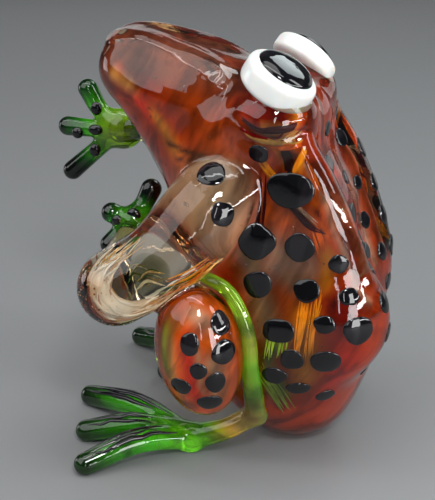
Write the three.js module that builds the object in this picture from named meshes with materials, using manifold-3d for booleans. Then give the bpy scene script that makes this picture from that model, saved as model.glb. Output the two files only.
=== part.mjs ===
// A small lampworked glass frog, sitting upright with its snout raised.
// Lengths are millimetres and angles are degrees.
// The frog faces -Y, its left side is +X and +Z is up. It stands on the plane Z = 0.

import * as THREE from 'three';
import { mergeVertices } from 'three/addons/utils/BufferGeometryUtils.js';
import Module from 'manifold-3d';

const wasm = await Module();
wasm.setup();

// Fits and fineness
const GAP = 0.3;
const CUTTER_SIZE = 80;
const BLEND = 2.2;
const CREST_BLEND = 1.4;
const RIDGE_BLEND = 1;
const TRUNK_FINENESS = 9;
const ROOM_FINENESS = 6;
const LIMB_FINENESS = 5;
const LIMB_SIDES = 12;
const DIGIT_SIDES = 8;

// Trunk, as ellipsoids melted together. A pair is mirrored to the right side.
// lean tips the top of an ellipsoid towards the snout, and turn swings its front to the left.
const TORSO_LUMPS = [
  { at: [0, 8.4, 11.6], half: [9.1, 8.4, 11] },
  { at: [0, 9.2, 4.5], half: [4.6, 4.8, 4.7] },
  { at: [0, 5.8, 21.3], half: [8.5, 8.4, 10.9], lean: 20 },
  { at: [4.7, 12.9, 14.2], half: [4.5, 5.5, 5.8] },
  { at: [-4.9, 12, 15.2], half: [4.5, 5.1, 5.6] },
  { at: [5.4, 11.4, 24.2], half: [2.6, 3, 9], lean: 23, pair: true },
];
const HEAD_LUMPS = [
  { at: [0, 3.6, 28.2], half: [7.3, 7.4, 5.8], lean: 8 },
  { at: [0, -1.3, 30.6], half: [4.8, 6.3, 4.7], lean: -40 },
  { at: [0, 4.6, 31.8], half: [6.9, 6.9, 4] },
  { at: [0, -2.4, 33.6], half: [4.9, 7, 3.8], lean: -11 },
  { at: [0, -6.2, 35.4], half: [3.5, 3, 2.8] },
];

// Crests of the snout, mounds under the eyes and cheeks, then narrow ridges along snout, mouth and back
const CREST_LUMPS = [
  { at: [2.2, -2.6, 36.1], half: [1.7, 5.4, 1.7], lean: -13, turn: -14, pair: true },
  { at: [4.7, 7.4, 32.5], half: [3.8, 3.8, 3.1], pair: true },
  { at: [2.9, -0.4, 33.9], half: [2.7, 4.6, 2.7], lean: -12, turn: -9, pair: true },
];
const SNOUT_RIDGE = {
  path: [
    [0, -8.4, 37.2], [1.1, -8, 37.65], [1.8, -6.9, 38.02], [2.4, -4.8, 37.85], [3, -3.2, 37.4],
    [3.8, -0.9, 36.75], [4.2, 1.2, 36.15], [4.8, 2.6, 35.6],
  ],
  radii: [0.45, 0.52, 0.58, 0.58, 0.55, 0.5, 0.48, 0.42],
};
const MOUTH_RIDGE = {
  path: [
    [1.6, -8.2, 36.2], [2.9, -7.2, 35.4], [3.8, -5.8, 34.5],
    [4.3, -4.3, 33.9], [4.8, -2.6, 33.4], [5.2, -1, 33],
  ],
  radii: [0.3, 0.45, 0.5, 0.5, 0.45, 0.3],
};
const BACK_RIDGE = {
  path: [[6.2, 10.3, 30.6], [6.2, 12.1, 27.2], [6.1, 13.7, 23.8], [5.8, 14.9, 20.8], [5.9, 16, 18.2]],
  radii: [0.9, 1.1, 1.1, 1.1, 0.8],
};
const TORSO_CENTRE = [0, 5.5, 18];
const HEAD_CENTRE = [0, 2.5, 30];
const NECK_PLANE_POINT = [0, 4, 27.2];
const NECK_PLANE_LEAN = 15;

// Eyes: a thick white disc with a domed black pupil, tilted up and back
const PUPIL_SHARE = 0.8;
const PUPIL_HEIGHT = 0.6;
const PUPIL_ROOT = 0.5;
const LEFT_EYE = { at: [4.8, 7.9, 35.6], axis: [0.08, 0.51, 0.85], radius: 3.35, half: 1.45 };
const RIGHT_EYE = { at: [-4.9, 8.15, 35.3], axis: [-0.58, 0.44, 0.68], radius: 3.15, half: 1.05 };

// Arms, from the shoulder inside the trunk to the elbow, then to the wrist
const LEFT_ARM = {
  upper: [[5.5, 4.4, 26.2], [7.2, 2.6, 24.6], [9.8, -1, 20.4], [11.2, -5, 17.8]],
  upperRadii: [3.4, 3.9, 3.6, 3.45],
  fore: [[10.4, -5.2, 17.6], [6.8, -6.3, 18.2], [2.8, -6.6, 19]],
  foreRadii: [2.3, 1.7, 1.3],
  palm: [0.4, -6.8, 19.8],
  palmHalf: [1.6, 1.3, 1.7],
  fingers: [
    [[-0.4, -6.1, 21.4], [-0.9, -5.5, 22.8]],
    [[0.4, -8, 20.2], [0.6, -9, 20.6]],
    [[0.9, -8.2, 18.6], [1.2, -9, 17.6]],
  ],
};
const RIGHT_ARM = {
  upper: [[-5.6, 5, 27], [-7.6, 3, 24.4], [-9.9, -0.4, 20.4], [-11.1, -2.8, 17.8]],
  upperRadii: [3.3, 3.5, 3.4, 3.3],
  fore: [[-11, -3.4, 18], [-10.2, -5.8, 22.4], [-9.1, -8, 26.2]],
  foreRadii: [2.5, 1.9, 1.6],
  palm: [-9.2, -11.2, 25.9],
  palmHalf: [1.4, 2.3, 2.1],
  fingers: [
    [[-9.3, -13.4, 27.6], [-9.3, -14.7, 29.8]],
    [[-9.3, -14.2, 25.7], [-9.4, -17, 25.7]],
    [[-9.3, -13.6, 23.8], [-9.4, -16.7, 21]],
  ],
};
const FINGER_RADIUS = 0.9;
const FINGER_TIP_RADIUS = 1;

// Folded hind legs: an upright oval thigh, and a thin shank in the groove behind it
const THIGH = { at: [11, 2.5, 12.5], half: [3.5, 3.9, 6.2], lean: 9 };
const SHANK = [
  [9.3, 2.2, 19], [9.8, 4.9, 17.8], [10, 6.6, 14.4], [9.8, 6.9, 10.4], [8.9, 7, 7.6], [7.9, 7, 5.6],
];
const SHANK_RADII = [0.55, 0.65, 0.7, 0.8, 0.9, 0.9];

// Feet: a strand from the heel and three long toes that arch off the floor
const FOOT_STRAND = [[7, 6.8, 4.6], [7.4, 4, 2.8], [7, 0.6, 1.2]];
const FOOT_STRAND_RADII = [1, 1.05, 1.25];
const TOE_RADIUS = 1.1;
const TOE_TIP_RADIUS = 1.05;
const TOE_TIP_HEIGHT = 0.95;
const TOE_ARCH = 2;
const LEFT_TOE_TIPS = [[13.83, -7.6], [8, -9.6], [1.2, -11.6]];
const RIGHT_TOE_TIPS = [[-13.2, -11], [-10, -7.2], [-6, -5.8]];

// Black glass spots, each [place, Z, length, height], where the place is Y on the flanks and
// thighs and X on the back. Those on the arms are set by a place along the bar and a direction.
const SPOT_RISE = 0.25;
const SPOT_REACH = 25;
const TRUNK_ROUNDING = 9;
const ARM_ROUNDING = 3.7;
const FLANK_SPOTS = [
  [6.9, 30, 1.8, 1.9], [9.7, 27, 4.3, 3.1], [7, 22.2, 3.2, 3.3], [10.7, 21.9, 2.7, 2.7],
  [14.1, 20.6, 1.8, 1.7], [7.1, 18.2, 2.6, 2.5], [11.5, 18.1, 2.3, 2.2], [15.2, 17.8, 1.8, 1.6],
  [9.2, 14.3, 3, 2.3], [13.3, 15.4, 2, 1.6], [16.2, 14.8, 2.8, 2.6], [10.5, 11.7, 2.1, 2.1],
  [13.5, 11.7, 2.8, 2.4], [8.9, 9.8, 2.3, 1.7], [11, 8.5, 2.3, 1.3], [13.2, 7.2, 2, 1.4],
];
const BACK_SPOTS = [
  [0.8, 30.6, 1.8, 1.6], [-3.8, 28.4, 1.6, 2], [-6, 27, 1.6, 2.2], [1.8, 27.6, 2.4, 2],
  [-0.9, 25.6, 1.8, 1.4], [-3.2, 24.4, 1.4, 1.6], [-5.6, 23.8, 1.6, 2], [0.8, 22.8, 2.2, 2.4],
  [-2.6, 21, 1.8, 1.9], [-5.2, 20.8, 1.6, 2.2], [-0.6, 18.8, 1.8, 1.8], [-3.2, 17.8, 1.7, 2],
  [-5.6, 17.6, 1.8, 2.3], [-3.8, 14.6, 1.8, 2], [5.2, 16.4, 2.2, 2.2], [4.6, 13.2, 1.8, 2.2],
  [3.2, 8.6, 1.8, 1.5], [4.6, 22, 1.6, 2], [3.4, 18.8, 1.7, 1.8], [-1.4, 10.6, 2.2, 1.8],
];
const THIGH_SPOTS = [
  [2.6, 14.6, 1.7, 2.1], [3.4, 12.2, 1.6, 1.5], [5.4, 13.7, 2.4, 2.2], [4.8, 11, 1.8, 2.1],
  [1.7, 10.4, 2, 1.7], [4.2, 8.8, 2.3, 1.7], [4.9, 16.1, 2, 2.2],
];
const ARM_SPOTS = [
  { along: 0.17, towards: [0.63, -0.13, 0.76], width: 2.5, height: 2.5 },
  { along: 0.38, towards: [0.73, 0.61, 0.3], width: 2, height: 2.2 },
];

// Glass colours
const AMBER = 0xa83a12;
const CLEAR = 0xd9b48a;
const GREEN = 0x2f8f1a;
const WHITE = 0xf4f5f2;
const BLACK = 0x0a0a0c;

const radians = THREE.MathUtils.degToRad;
const vector = (list) => new THREE.Vector3(...list);
const mirrored = ([x, y, z]) => [-x, y, z];

function solid(geometry) {
  const bare = geometry.clone();
  bare.deleteAttribute('normal');
  bare.deleteAttribute('uv');
  const merged = mergeVertices(bare);
  return new wasm.Manifold(new wasm.Mesh({
    numProp: 3,
    vertProperties: new Float32Array(merged.attributes.position.array),
    triVerts: new Uint32Array(merged.index.array),
  }));
}

function union(pieces) {
  return pieces.reduce((whole, piece) => whole.add(piece));
}

// The largest closed surface of a solid
function largest(shape) {
  const volumes = shape.decompose().map((body) => ({ body, size: body.volume() }));
  return volumes.reduce((best, next) => (next.size > best.size ? next : best)).body;
}

function box(width, depth, height, centre, lean = 0) {
  const geometry = new THREE.BoxGeometry(width, depth, height);
  geometry.rotateX(radians(lean));
  geometry.translate(...centre);
  return solid(geometry);
}

// An ellipsoid as a function: below zero inside it, and roughly the distance outside
function lumpReach(lump) {
  const TINY = 1e-6;
  const { lean = 0, turn = 0 } = lump;
  const placed = new THREE.Euler(radians(lean), 0, radians(turn), 'ZYX');
  const back = new THREE.Matrix4().makeRotationFromEuler(placed).invert();
  const centre = vector(lump.at);
  const half = vector(lump.half);
  return (point, swell) => {
    const local = point.clone().sub(centre).applyMatrix4(back);
    const radii = half.clone().addScalar(swell);
    const near = local.clone().divide(radii);
    const far = near.clone().divide(radii);
    const scale = near.length();
    return (scale * (scale - 1)) / Math.max(far.length(), TINY);
  };
}

function otherSide(lump) {
  return { ...lump, at: mirrored(lump.at), turn: -(lump.turn ?? 0) };
}

function reachesOf(lumps) {
  const all = lumps.flatMap((lump) => (lump.pair ? [lump, otherSide(lump)] : [lump]));
  return all.map(lumpReach);
}

// Several forms as one, melted together where they meet
function melted(reaches, blend) {
  return (point, swell = 0) => reaches.map((reach) => reach(point, swell)).reduce((a, b) => {
    const overlap = Math.max(blend - Math.abs(a - b), 0);
    return Math.min(a, b) - (overlap * overlap) / (4 * blend);
  });
}

// How far from a start the first way out of the melted lumps lies
function wayOut(reach, start, direction, swell) {
  const STEP = 0.5;
  const HALVINGS = 14;
  let inside = 0;
  let outside = STEP;
  const at = (distance) => reach(start.clone().addScaledVector(direction, distance), swell);
  while (at(outside) < 0) {
    inside = outside;
    outside += STEP;
  }
  for (let halving = 0; halving < HALVINGS; halving += 1) {
    const middle = (inside + outside) / 2;
    if (at(middle) < 0) {
      inside = middle;
    } else {
      outside = middle;
    }
  }
  return outside;
}

// A ball whose points are moved out from a centre to the surface of the melted lumps
function skin(reach, centre, fineness, swell = 0) {
  const geometry = new THREE.IcosahedronGeometry(1, fineness);
  const position = geometry.attributes.position;
  const start = vector(centre);
  const direction = new THREE.Vector3();
  for (let i = 0; i < position.count; i += 1) {
    direction.fromBufferAttribute(position, i).normalize();
    const distance = wayOut(reach, start, direction, swell);
    direction.multiplyScalar(distance).add(start);
    position.setXYZ(i, direction.x, direction.y, direction.z);
  }
  return solid(geometry);
}

function smoothPath(path) {
  return new THREE.CatmullRomCurve3(path.map(vector), false, 'centripetal');
}

function radiusAlong(radii, t) {
  const place = t * (radii.length - 1);
  const low = Math.min(Math.floor(place), radii.length - 2);
  return THREE.MathUtils.lerp(radii[low], radii[low + 1], place - low);
}

function sided(points, side) {
  return points.map(([x, y, z]) => [side * x, y, z]);
}

// A round strand along a smooth path, as a function of the same kind as a lump's
function strandReach(path, radii) {
  const STEPS_BETWEEN = 3;
  const steps = (path.length - 1) * STEPS_BETWEEN;
  const places = smoothPath(path).getPoints(steps);
  const spans = places.slice(1).map((end, k) => new THREE.Line3(places[k], end));
  const nearest = new THREE.Vector3();
  return (point, swell) => {
    const gaps = spans.map((span, k) => {
      const share = span.closestPointToPointParameter(point, true);
      return span.at(share, nearest).distanceTo(point) - radiusAlong(radii, (k + share) / steps) - swell;
    });
    return Math.min(...gaps);
  };
}

// A round bar along a smooth path, with its radius given at each point and both ends domed
function bar(path, radii, sides, swell = 0) {
  const STEPS_BETWEEN = 2;
  const CAP_RINGS = 2;
  const SEAM_SIDE = [0.31, 0.52, 0.8];
  const curve = smoothPath(path);
  const steps = (path.length - 1) * STEPS_BETWEEN;
  const rings = [];
  const ring = (t, along, shrink) => {
    const radius = radiusAlong(radii, t) + swell;
    const tangent = curve.getTangent(t);
    const centre = curve.getPoint(t).addScaledVector(tangent, along * radius);
    rings.push({ centre, tangent, radius: radius * shrink });
  };
  for (let k = CAP_RINGS; k >= 1; k -= 1) {
    const angle = (Math.PI / 2) * (k / (CAP_RINGS + 1));
    ring(0, -Math.sin(angle), Math.cos(angle));
  }
  for (let k = 0; k <= steps; k += 1) {
    ring(k / steps, 0, 1);
  }
  for (let k = 1; k <= CAP_RINGS; k += 1) {
    const angle = (Math.PI / 2) * (k / (CAP_RINGS + 1));
    ring(1, Math.sin(angle), Math.cos(angle));
  }
  const points = [];
  let side = vector(SEAM_SIDE);
  for (const { centre, tangent, radius } of rings) {
    side = side.clone().addScaledVector(tangent, -side.dot(tangent)).normalize();
    const other = new THREE.Vector3().crossVectors(tangent, side);
    for (let k = 0; k < sides; k += 1) {
      const turn = (2 * Math.PI * k) / sides;
      const point = centre.clone();
      point.addScaledVector(side, radius * Math.cos(turn));
      point.addScaledVector(other, radius * Math.sin(turn));
      points.push(point);
    }
  }
  const firstPole = points.length;
  const firstRadius = radii[0] + swell;
  const lastRadius = radii[radii.length - 1] + swell;
  points.push(curve.getPoint(0).addScaledVector(curve.getTangent(0), -firstRadius));
  points.push(curve.getPoint(1).addScaledVector(curve.getTangent(1), lastRadius));
  const lastRing = (rings.length - 1) * sides;
  const triangles = [];
  for (let k = 0; k < sides; k += 1) {
    const next = (k + 1) % sides;
    for (let row = 0; row < lastRing; row += sides) {
      triangles.push(row + k, row + next, row + sides + next);
      triangles.push(row + k, row + sides + next, row + sides + k);
    }
    triangles.push(firstPole, next, k);
    triangles.push(firstPole + 1, lastRing + k, lastRing + next);
  }
  const geometry = new THREE.BufferGeometry().setFromPoints(points);
  geometry.setIndex(triangles);
  return solid(geometry);
}

function ellipsoid(centre, half, swell = 0) {
  const FINENESS = 3;
  const geometry = new THREE.IcosahedronGeometry(1, FINENESS);
  geometry.scale(half[0] + swell, half[1] + swell, half[2] + swell);
  geometry.translate(...centre);
  return solid(geometry);
}

// A thin lens laid on a surface of the given rounding, its rim just under it
function spot(place, normal, width, height, rounding) {
  const RIM_DEPTH = 0.05;
  const sunk = (Math.max(width, height) ** 2) / (8 * rounding) + RIM_DEPTH;
  const geometry = new THREE.SphereGeometry(1, 8, 4);
  geometry.rotateX(Math.PI / 2);
  geometry.scale(width / 2, height / 2, SPOT_RISE + sunk);
  const out = normal.clone().normalize();
  const along = new THREE.Vector3(0, 0, 1).cross(out).normalize();
  const up = out.clone().cross(along);
  geometry.applyMatrix4(new THREE.Matrix4().makeBasis(along, up, out));
  geometry.translate(...place.clone().addScaledVector(out, -sunk).toArray());
  return solid(geometry);
}

// A spot where a line from outside first meets the melted lumps
function spotOnLumps(reach, start, direction, width, height) {
  const STEP = 0.2;
  const LEAST_STEP = 0.02;
  const SLOPE = 0.05;
  const place = start.clone();
  while (reach(place) > 0) {
    place.addScaledVector(direction, LEAST_STEP + Math.min(reach(place), STEP));
  }
  const rise = (axis) => reach(place.clone().addScaledVector(axis, SLOPE)) - reach(place);
  const normal = new THREE.Vector3(
    rise(new THREE.Vector3(1, 0, 0)),
    rise(new THREE.Vector3(0, 1, 0)),
    rise(new THREE.Vector3(0, 0, 1)),
  );
  return spot(place, normal, width, height, TRUNK_ROUNDING);
}

function flankSpots(reach, side, rows) {
  const inward = new THREE.Vector3(-side, 0, 0);
  return rows.map(([y, z, length, height]) => (
    spotOnLumps(reach, new THREE.Vector3(SPOT_REACH * side, y, z), inward, length, height)));
}

function backSpots(reach, rows) {
  const forward = new THREE.Vector3(0, -1, 0);
  return rows.map(([x, z, length, height]) => (
    spotOnLumps(reach, new THREE.Vector3(x, SPOT_REACH, z), forward, length, height)));
}

// A turned bead whose axis points along the given direction
function turned(profile, { at, axis }) {
  const SEGMENTS = 24;
  const outline = profile.map(([out, rise]) => new THREE.Vector2(out, rise));
  const geometry = new THREE.LatheGeometry(outline, SEGMENTS);
  const up = new THREE.Vector3(0, 1, 0);
  geometry.applyQuaternion(new THREE.Quaternion().setFromUnitVectors(up, vector(axis).normalize()));
  geometry.translate(...at);
  return solid(geometry);
}

// Half a superellipse, from the low pole on the axis to the high one
function beadProfile(radius, half, squareness) {
  const STEPS = 12;
  const points = [];
  for (let k = 0; k <= STEPS; k += 1) {
    const angle = -Math.PI / 2 + (Math.PI * k) / STEPS;
    const out = Math.abs(Math.cos(angle)) ** (2 / squareness);
    const rise = Math.sign(Math.sin(angle)) * Math.abs(Math.sin(angle)) ** (2 / squareness);
    points.push([k === 0 || k === STEPS ? 0 : radius * out, half * rise]);
  }
  return points;
}

// Trunk, modelled whole and parted at the neck
const ridgeReaches = [SNOUT_RIDGE, MOUTH_RIDGE, BACK_RIDGE].flatMap(({ path, radii }) => (
  [1, -1].map((side) => strandReach(sided(path, side), radii))));
const lumpsReach = melted(reachesOf([...TORSO_LUMPS, ...HEAD_LUMPS]), BLEND);
const crestedReach = melted([lumpsReach, ...reachesOf(CREST_LUMPS)], CREST_BLEND);
const trunkReach = melted([crestedReach, ...ridgeReaches], RIDGE_BLEND);

// All that lies above the neck plane, or below it where side is -1
function beyondNeck(side) {
  const across = new THREE.Vector3(1, 0, 0);
  const normal = new THREE.Vector3(0, 0, side).applyAxisAngle(across, radians(NECK_PLANE_LEAN));
  const centre = vector(NECK_PLANE_POINT).addScaledVector(normal, (CUTTER_SIZE - GAP) / 2);
  return box(CUTTER_SIZE, CUTTER_SIZE, CUTTER_SIZE, centre.toArray(), NECK_PLANE_LEAN);
}

const floorBlock = box(CUTTER_SIZE, CUTTER_SIZE, CUTTER_SIZE, [0, 0, -CUTTER_SIZE / 2]);
const wholeTorso = skin(trunkReach, TORSO_CENTRE, TRUNK_FINENESS);
const wholeHead = skin(trunkReach, HEAD_CENTRE, TRUNK_FINENESS);
const trunkSpots = union([
  ...flankSpots(trunkReach, 1, FLANK_SPOTS),
  ...flankSpots(trunkReach, -1, FLANK_SPOTS),
  ...backSpots(trunkReach, BACK_SPOTS),
]);
const torso = wholeTorso.add(trunkSpots).subtract(beyondNeck(1)).subtract(floorBlock);
const head = wholeHead.add(trunkSpots).subtract(beyondNeck(-1));
const torsoRoom = skin(trunkReach, TORSO_CENTRE, ROOM_FINENESS, GAP);
const headRoom = skin(trunkReach, HEAD_CENTRE, ROOM_FINENESS, GAP);

function eye(place) {
  const DISC_SQUARENESS = 4.2;
  const DOME_SQUARENESS = 2.6;
  const { radius, half } = place;
  const bead = turned(beadProfile(radius, half, DISC_SQUARENESS), place);
  const room = turned(beadProfile(radius + GAP, half + GAP, DISC_SQUARENESS), place);
  const axis = vector(place.axis).normalize();
  const base = vector(place.at).addScaledVector(axis, half - PUPIL_ROOT);
  const domeProfile = beadProfile(PUPIL_SHARE * radius, PUPIL_HEIGHT + PUPIL_ROOT, DOME_SQUARENESS);
  const dome = turned(domeProfile, { at: base.toArray(), axis: place.axis });
  return {
    bead: largest(bead.subtract(headRoom)),
    pupil: largest(dome.subtract(room).subtract(headRoom)),
  };
}

function palmAndFingers(arm, swell) {
  const digits = arm.fingers.map(([knuckle, tip]) => bar(
    [arm.palm, knuckle, tip],
    [FINGER_RADIUS, FINGER_RADIUS, FINGER_TIP_RADIUS],
    DIGIT_SIDES,
    swell,
  ));
  return union([ellipsoid(arm.palm, arm.palmHalf, swell), ...digits]);
}

function armSpots(arm, side) {
  const curve = smoothPath(arm.upper);
  return ARM_SPOTS.map(({ along, towards, width, height }) => {
    const out = vector(towards).setX(side * towards[0]).normalize();
    const place = curve.getPoint(along).addScaledVector(out, radiusAlong(arm.upperRadii, along));
    return spot(place, out, width, height, ARM_ROUNDING);
  });
}

function armPieces(arm, side) {
  const upper = union([bar(arm.upper, arm.upperRadii, LIMB_SIDES), ...armSpots(arm, side)]);
  const upperRoom = bar(arm.upper, arm.upperRadii, LIMB_SIDES, GAP);
  const hand = palmAndFingers(arm, 0);
  const handRoom = palmAndFingers(arm, GAP);
  const wrist = [...arm.fore, arm.palm];
  const wristRadii = [...arm.foreRadii, FINGER_TIP_RADIUS];
  const fore = bar(wrist, wristRadii, LIMB_SIDES).subtract(upperRoom).subtract(handRoom);
  return {
    upper: largest(upper.subtract(torsoRoom).subtract(headRoom)),
    fore: largest(fore.subtract(torsoRoom)),
    hand: largest(hand.subtract(torsoRoom)),
  };
}

function toe(root, tip) {
  const middle = [(root[0] + tip[0]) / 2, (root[1] + tip[1]) / 2, TOE_ARCH];
  const path = [root, middle, [...tip, TOE_TIP_HEIGHT]];
  return bar(path, [TOE_RADIUS, TOE_RADIUS, TOE_TIP_RADIUS], DIGIT_SIDES);
}

function legPieces(side, toeTips, arm) {
  const thighLump = side > 0 ? THIGH : otherSide(THIGH);
  const thighReach = melted([lumpReach(thighLump)], BLEND);
  const thighSpots = flankSpots(thighReach, side, THIGH_SPOTS);
  const thigh = union([skin(thighReach, thighLump.at, LIMB_FINENESS), ...thighSpots]);
  const thighRoom = skin(thighReach, thighLump.at, LIMB_FINENESS, GAP);
  const armRoom = bar(arm.upper, arm.upperRadii, LIMB_SIDES, GAP);
  const shankPath = sided(SHANK, side);
  const strandPath = sided(FOOT_STRAND, side);
  const strandEnd = strandPath[strandPath.length - 1];
  const foot = union([
    bar(strandPath, FOOT_STRAND_RADII, DIGIT_SIDES),
    ...toeTips.map((tip) => toe(strandEnd, tip)),
  ]);
  const strandRoom = bar(strandPath, FOOT_STRAND_RADII, DIGIT_SIDES, GAP);
  const shank = bar(shankPath, SHANK_RADII, DIGIT_SIDES).subtract(thighRoom);
  return {
    thigh: largest(thigh.subtract(torsoRoom).subtract(armRoom)),
    shank: largest(shank.subtract(torsoRoom).subtract(strandRoom).subtract(armRoom)),
    foot: largest(foot.subtract(thighRoom).subtract(torsoRoom).subtract(floorBlock)),
  };
}

const frog = new THREE.Group();

function addMesh(name, shape, color, roughness = 0.05) {
  const { vertProperties, triVerts } = shape.getMesh();
  const geometry = new THREE.BufferGeometry();
  geometry.setAttribute('position', new THREE.BufferAttribute(new Float32Array(vertProperties), 3));
  geometry.setIndex(new THREE.BufferAttribute(new Uint32Array(triVerts), 1));
  geometry.computeVertexNormals();
  const material = new THREE.MeshStandardMaterial({ color, roughness, metalness: 0 });
  const mesh = new THREE.Mesh(geometry, material);
  mesh.name = name;
  frog.add(mesh);
}

addMesh('torso', largest(torso), AMBER);
addMesh('head', largest(head), AMBER);
for (const [side, place] of [['left', LEFT_EYE], ['right', RIGHT_EYE]]) {
  const { bead, pupil } = eye(place);
  addMesh(`${side}_eye`, bead, WHITE);
  addMesh(`${side}_pupil`, pupil, BLACK);
}
for (const [side, sign, arm] of [['left', 1, LEFT_ARM], ['right', -1, RIGHT_ARM]]) {
  const { upper, fore, hand } = armPieces(arm, sign);
  addMesh(`${side}_upper_arm`, upper, CLEAR);
  addMesh(`${side}_forearm`, fore, CLEAR);
  addMesh(`${side}_hand`, hand, GREEN);
}
const LEGS = [['left', 1, LEFT_TOE_TIPS, LEFT_ARM], ['right', -1, RIGHT_TOE_TIPS, RIGHT_ARM]];
for (const [side, sign, tips, arm] of LEGS) {
  const { thigh, shank, foot } = legPieces(sign, tips, arm);
  addMesh(`${side}_thigh`, thigh, AMBER);
  addMesh(`${side}_shank`, shank, GREEN);
  addMesh(`${side}_foot`, foot, GREEN);
}

export default frog;
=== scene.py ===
# A small lampworked glass frog on a plain grey studio floor.
# Named sizes are in millimetres and degrees, and every mesh is in metres. The frog faces -Y.
import math
import random

import bpy
import numpy as np
from mathutils import Euler, Matrix, Vector
from mathutils.bvhtree import BVHTree


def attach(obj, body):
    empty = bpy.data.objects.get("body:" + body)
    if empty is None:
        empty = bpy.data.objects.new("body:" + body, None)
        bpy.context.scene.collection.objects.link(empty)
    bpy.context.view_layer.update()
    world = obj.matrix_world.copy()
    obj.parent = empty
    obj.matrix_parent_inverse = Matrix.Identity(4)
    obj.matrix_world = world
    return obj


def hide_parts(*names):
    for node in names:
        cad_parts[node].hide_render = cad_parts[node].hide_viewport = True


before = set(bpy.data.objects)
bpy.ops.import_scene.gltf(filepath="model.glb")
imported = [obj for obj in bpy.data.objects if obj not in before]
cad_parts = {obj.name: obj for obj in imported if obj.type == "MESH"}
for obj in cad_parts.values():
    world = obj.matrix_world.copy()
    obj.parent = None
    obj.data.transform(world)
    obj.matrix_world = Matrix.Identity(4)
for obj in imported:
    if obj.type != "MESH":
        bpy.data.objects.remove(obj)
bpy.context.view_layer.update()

MM = 0.001
TINY = 1e-6

# A strand is measured up to this far away, and a line from outside nears a form in these steps.
FAR = 3.0
MEETING_STEPS = 90
MEETING_SHARE = 0.7

# Trunk, as lumps of hot glass that melt together. A pair is mirrored to the right side.
TRUNK_LUMPS = [
    {"at": (0, 8.4, 11.6), "half": (9.1, 8.4, 11)},
    {"at": (0, 9.2, 4.5), "half": (4.6, 4.8, 4.7)},
    {"at": (0, 5.8, 21.3), "half": (8.5, 8.4, 10.9), "lean": 20},
    {"at": (4.7, 12.9, 14.2), "half": (4.5, 5.5, 5.8)},
    {"at": (-4.9, 12, 15.2), "half": (4.5, 5.1, 5.6)},
    {"at": (5.4, 11.4, 24.2), "half": (2.6, 3, 9), "lean": 23, "pair": True},
    {"at": (0, 3.6, 28.2), "half": (7.3, 7.4, 5.8), "lean": 8},
    {"at": (0, -1.3, 30.6), "half": (4.8, 6.3, 4.7), "lean": -40},
    {"at": (0, 4.6, 31.8), "half": (6.9, 6.9, 4)},
    {"at": (0, -2.4, 33.6), "half": (4.9, 7, 3.8), "lean": -11},
    {"at": (0, -6.2, 35.4), "half": (3.5, 3, 2.8)},
]
TRUNK_BLEND = 2.2
CREST_LUMPS = [
    {"at": (2.2, -2.6, 36.1), "half": (1.7, 5.4, 1.7), "lean": -13, "turn": -14, "pair": True},
    {"at": (4.7, 7.4, 32.5), "half": (3.8, 3.8, 3.1), "pair": True},
    {"at": (2.9, -0.4, 33.9), "half": (2.7, 4.6, 2.7), "lean": -12, "turn": -9, "pair": True},
]
CREST_BLEND = 1.4

# On both sides: narrow ridges along the snout and mouth, low folds on the back and a crease under the eye
SNOUT_RIDGE = [
    (0, -8.4, 37.2), (1.1, -8, 37.6), (1.8, -6.9, 37.9), (2.4, -4.8, 37.75), (3, -3.2, 37.4),
    (3.8, -0.9, 36.75), (4.2, 1.2, 36.15), (4.8, 2.6, 35.6),
]
SNOUT_RIDGE_RADII = [0.4, 0.42, 0.45, 0.48, 0.5, 0.5, 0.48, 0.42]
MOUTH_RIDGE = [
    (1.6, -8.2, 36.2), (2.9, -7.2, 35.4), (3.8, -5.8, 34.5), (4.3, -4.3, 33.9), (4.8, -2.6, 33.4),
    (5.2, -1, 33),
]
MOUTH_RIDGE_RADII = [0.3, 0.45, 0.5, 0.5, 0.45, 0.3]
SNOUT_BLEND = 1
BACK_RIDGE = [(6.2, 10.3, 30.6), (6.2, 12.1, 27.2), (6.1, 13.7, 23.8), (5.8, 14.9, 20.8), (5.9, 16, 18.2)]
BACK_RIDGE_RADII = [0.9, 1.1, 1.1, 1.1, 0.8]
RIDGE_BLEND = 0.9
EYE_CREASE = [(7.9, 4.6, 33.1), (8.4, 6.3, 32.3), (8.5, 7.6, 31.9), (8.1, 9.1, 31.7), (7.4, 10.2, 31.8)]
CREASE_DEPTH = 0.6
CREASE_WIDTH = 0.45

# Arms, from the shoulder to the elbow, then to the wrist. The fingers grow from the palm's middle.
LEFT_ARM = {
    "upper": [(5.5, 4.4, 26.2), (7.2, 2.6, 24.6), (9.8, -1, 20.4), (11.2, -5, 17.8)],
    "upper_radii": [3.4, 3.9, 3.6, 3.45],
    "fore": [(10.4, -5.2, 17.6), (6.8, -6.3, 18.2), (2.8, -6.6, 19), (0.4, -6.8, 19.8)],
    "fore_radii": [2.3, 1.7, 1.3, 1],
    "palm": {"at": (0.4, -6.8, 19.8), "half": (1.6, 1.3, 1.7)},
    "fingers": [
        [(-0.4, -6.1, 21.4), (-0.9, -5.5, 22.8)],
        [(0.4, -8, 20.2), (0.6, -9, 20.6)],
        [(0.9, -8.2, 18.6), (1.2, -9, 17.6)],
    ],
}
RIGHT_ARM = {
    "upper": [(-5.6, 5, 27), (-7.6, 3, 24.4), (-9.9, -0.4, 20.4), (-11.1, -2.8, 17.8)],
    "upper_radii": [3.3, 3.5, 3.4, 3.3],
    "fore": [(-11, -3.4, 18), (-10.2, -5.8, 22.4), (-9.1, -8, 26.2), (-9.2, -11.2, 25.9)],
    "fore_radii": [2.5, 1.9, 1.6, 1.2],
    "palm": {"at": (-9.2, -11.2, 25.9), "half": (1.4, 2.3, 2.1)},
    "fingers": [
        [(-9.3, -13.4, 27.6), (-9.3, -14.7, 29.8)],
        [(-9.3, -14.2, 25.7), (-9.4, -17, 25.7)],
        [(-9.3, -13.6, 23.8), (-9.4, -16.7, 21)],
    ],
}
FINGER_RADII = [0.9, 0.9, 1]
ARM_BLEND = 0.4
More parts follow.
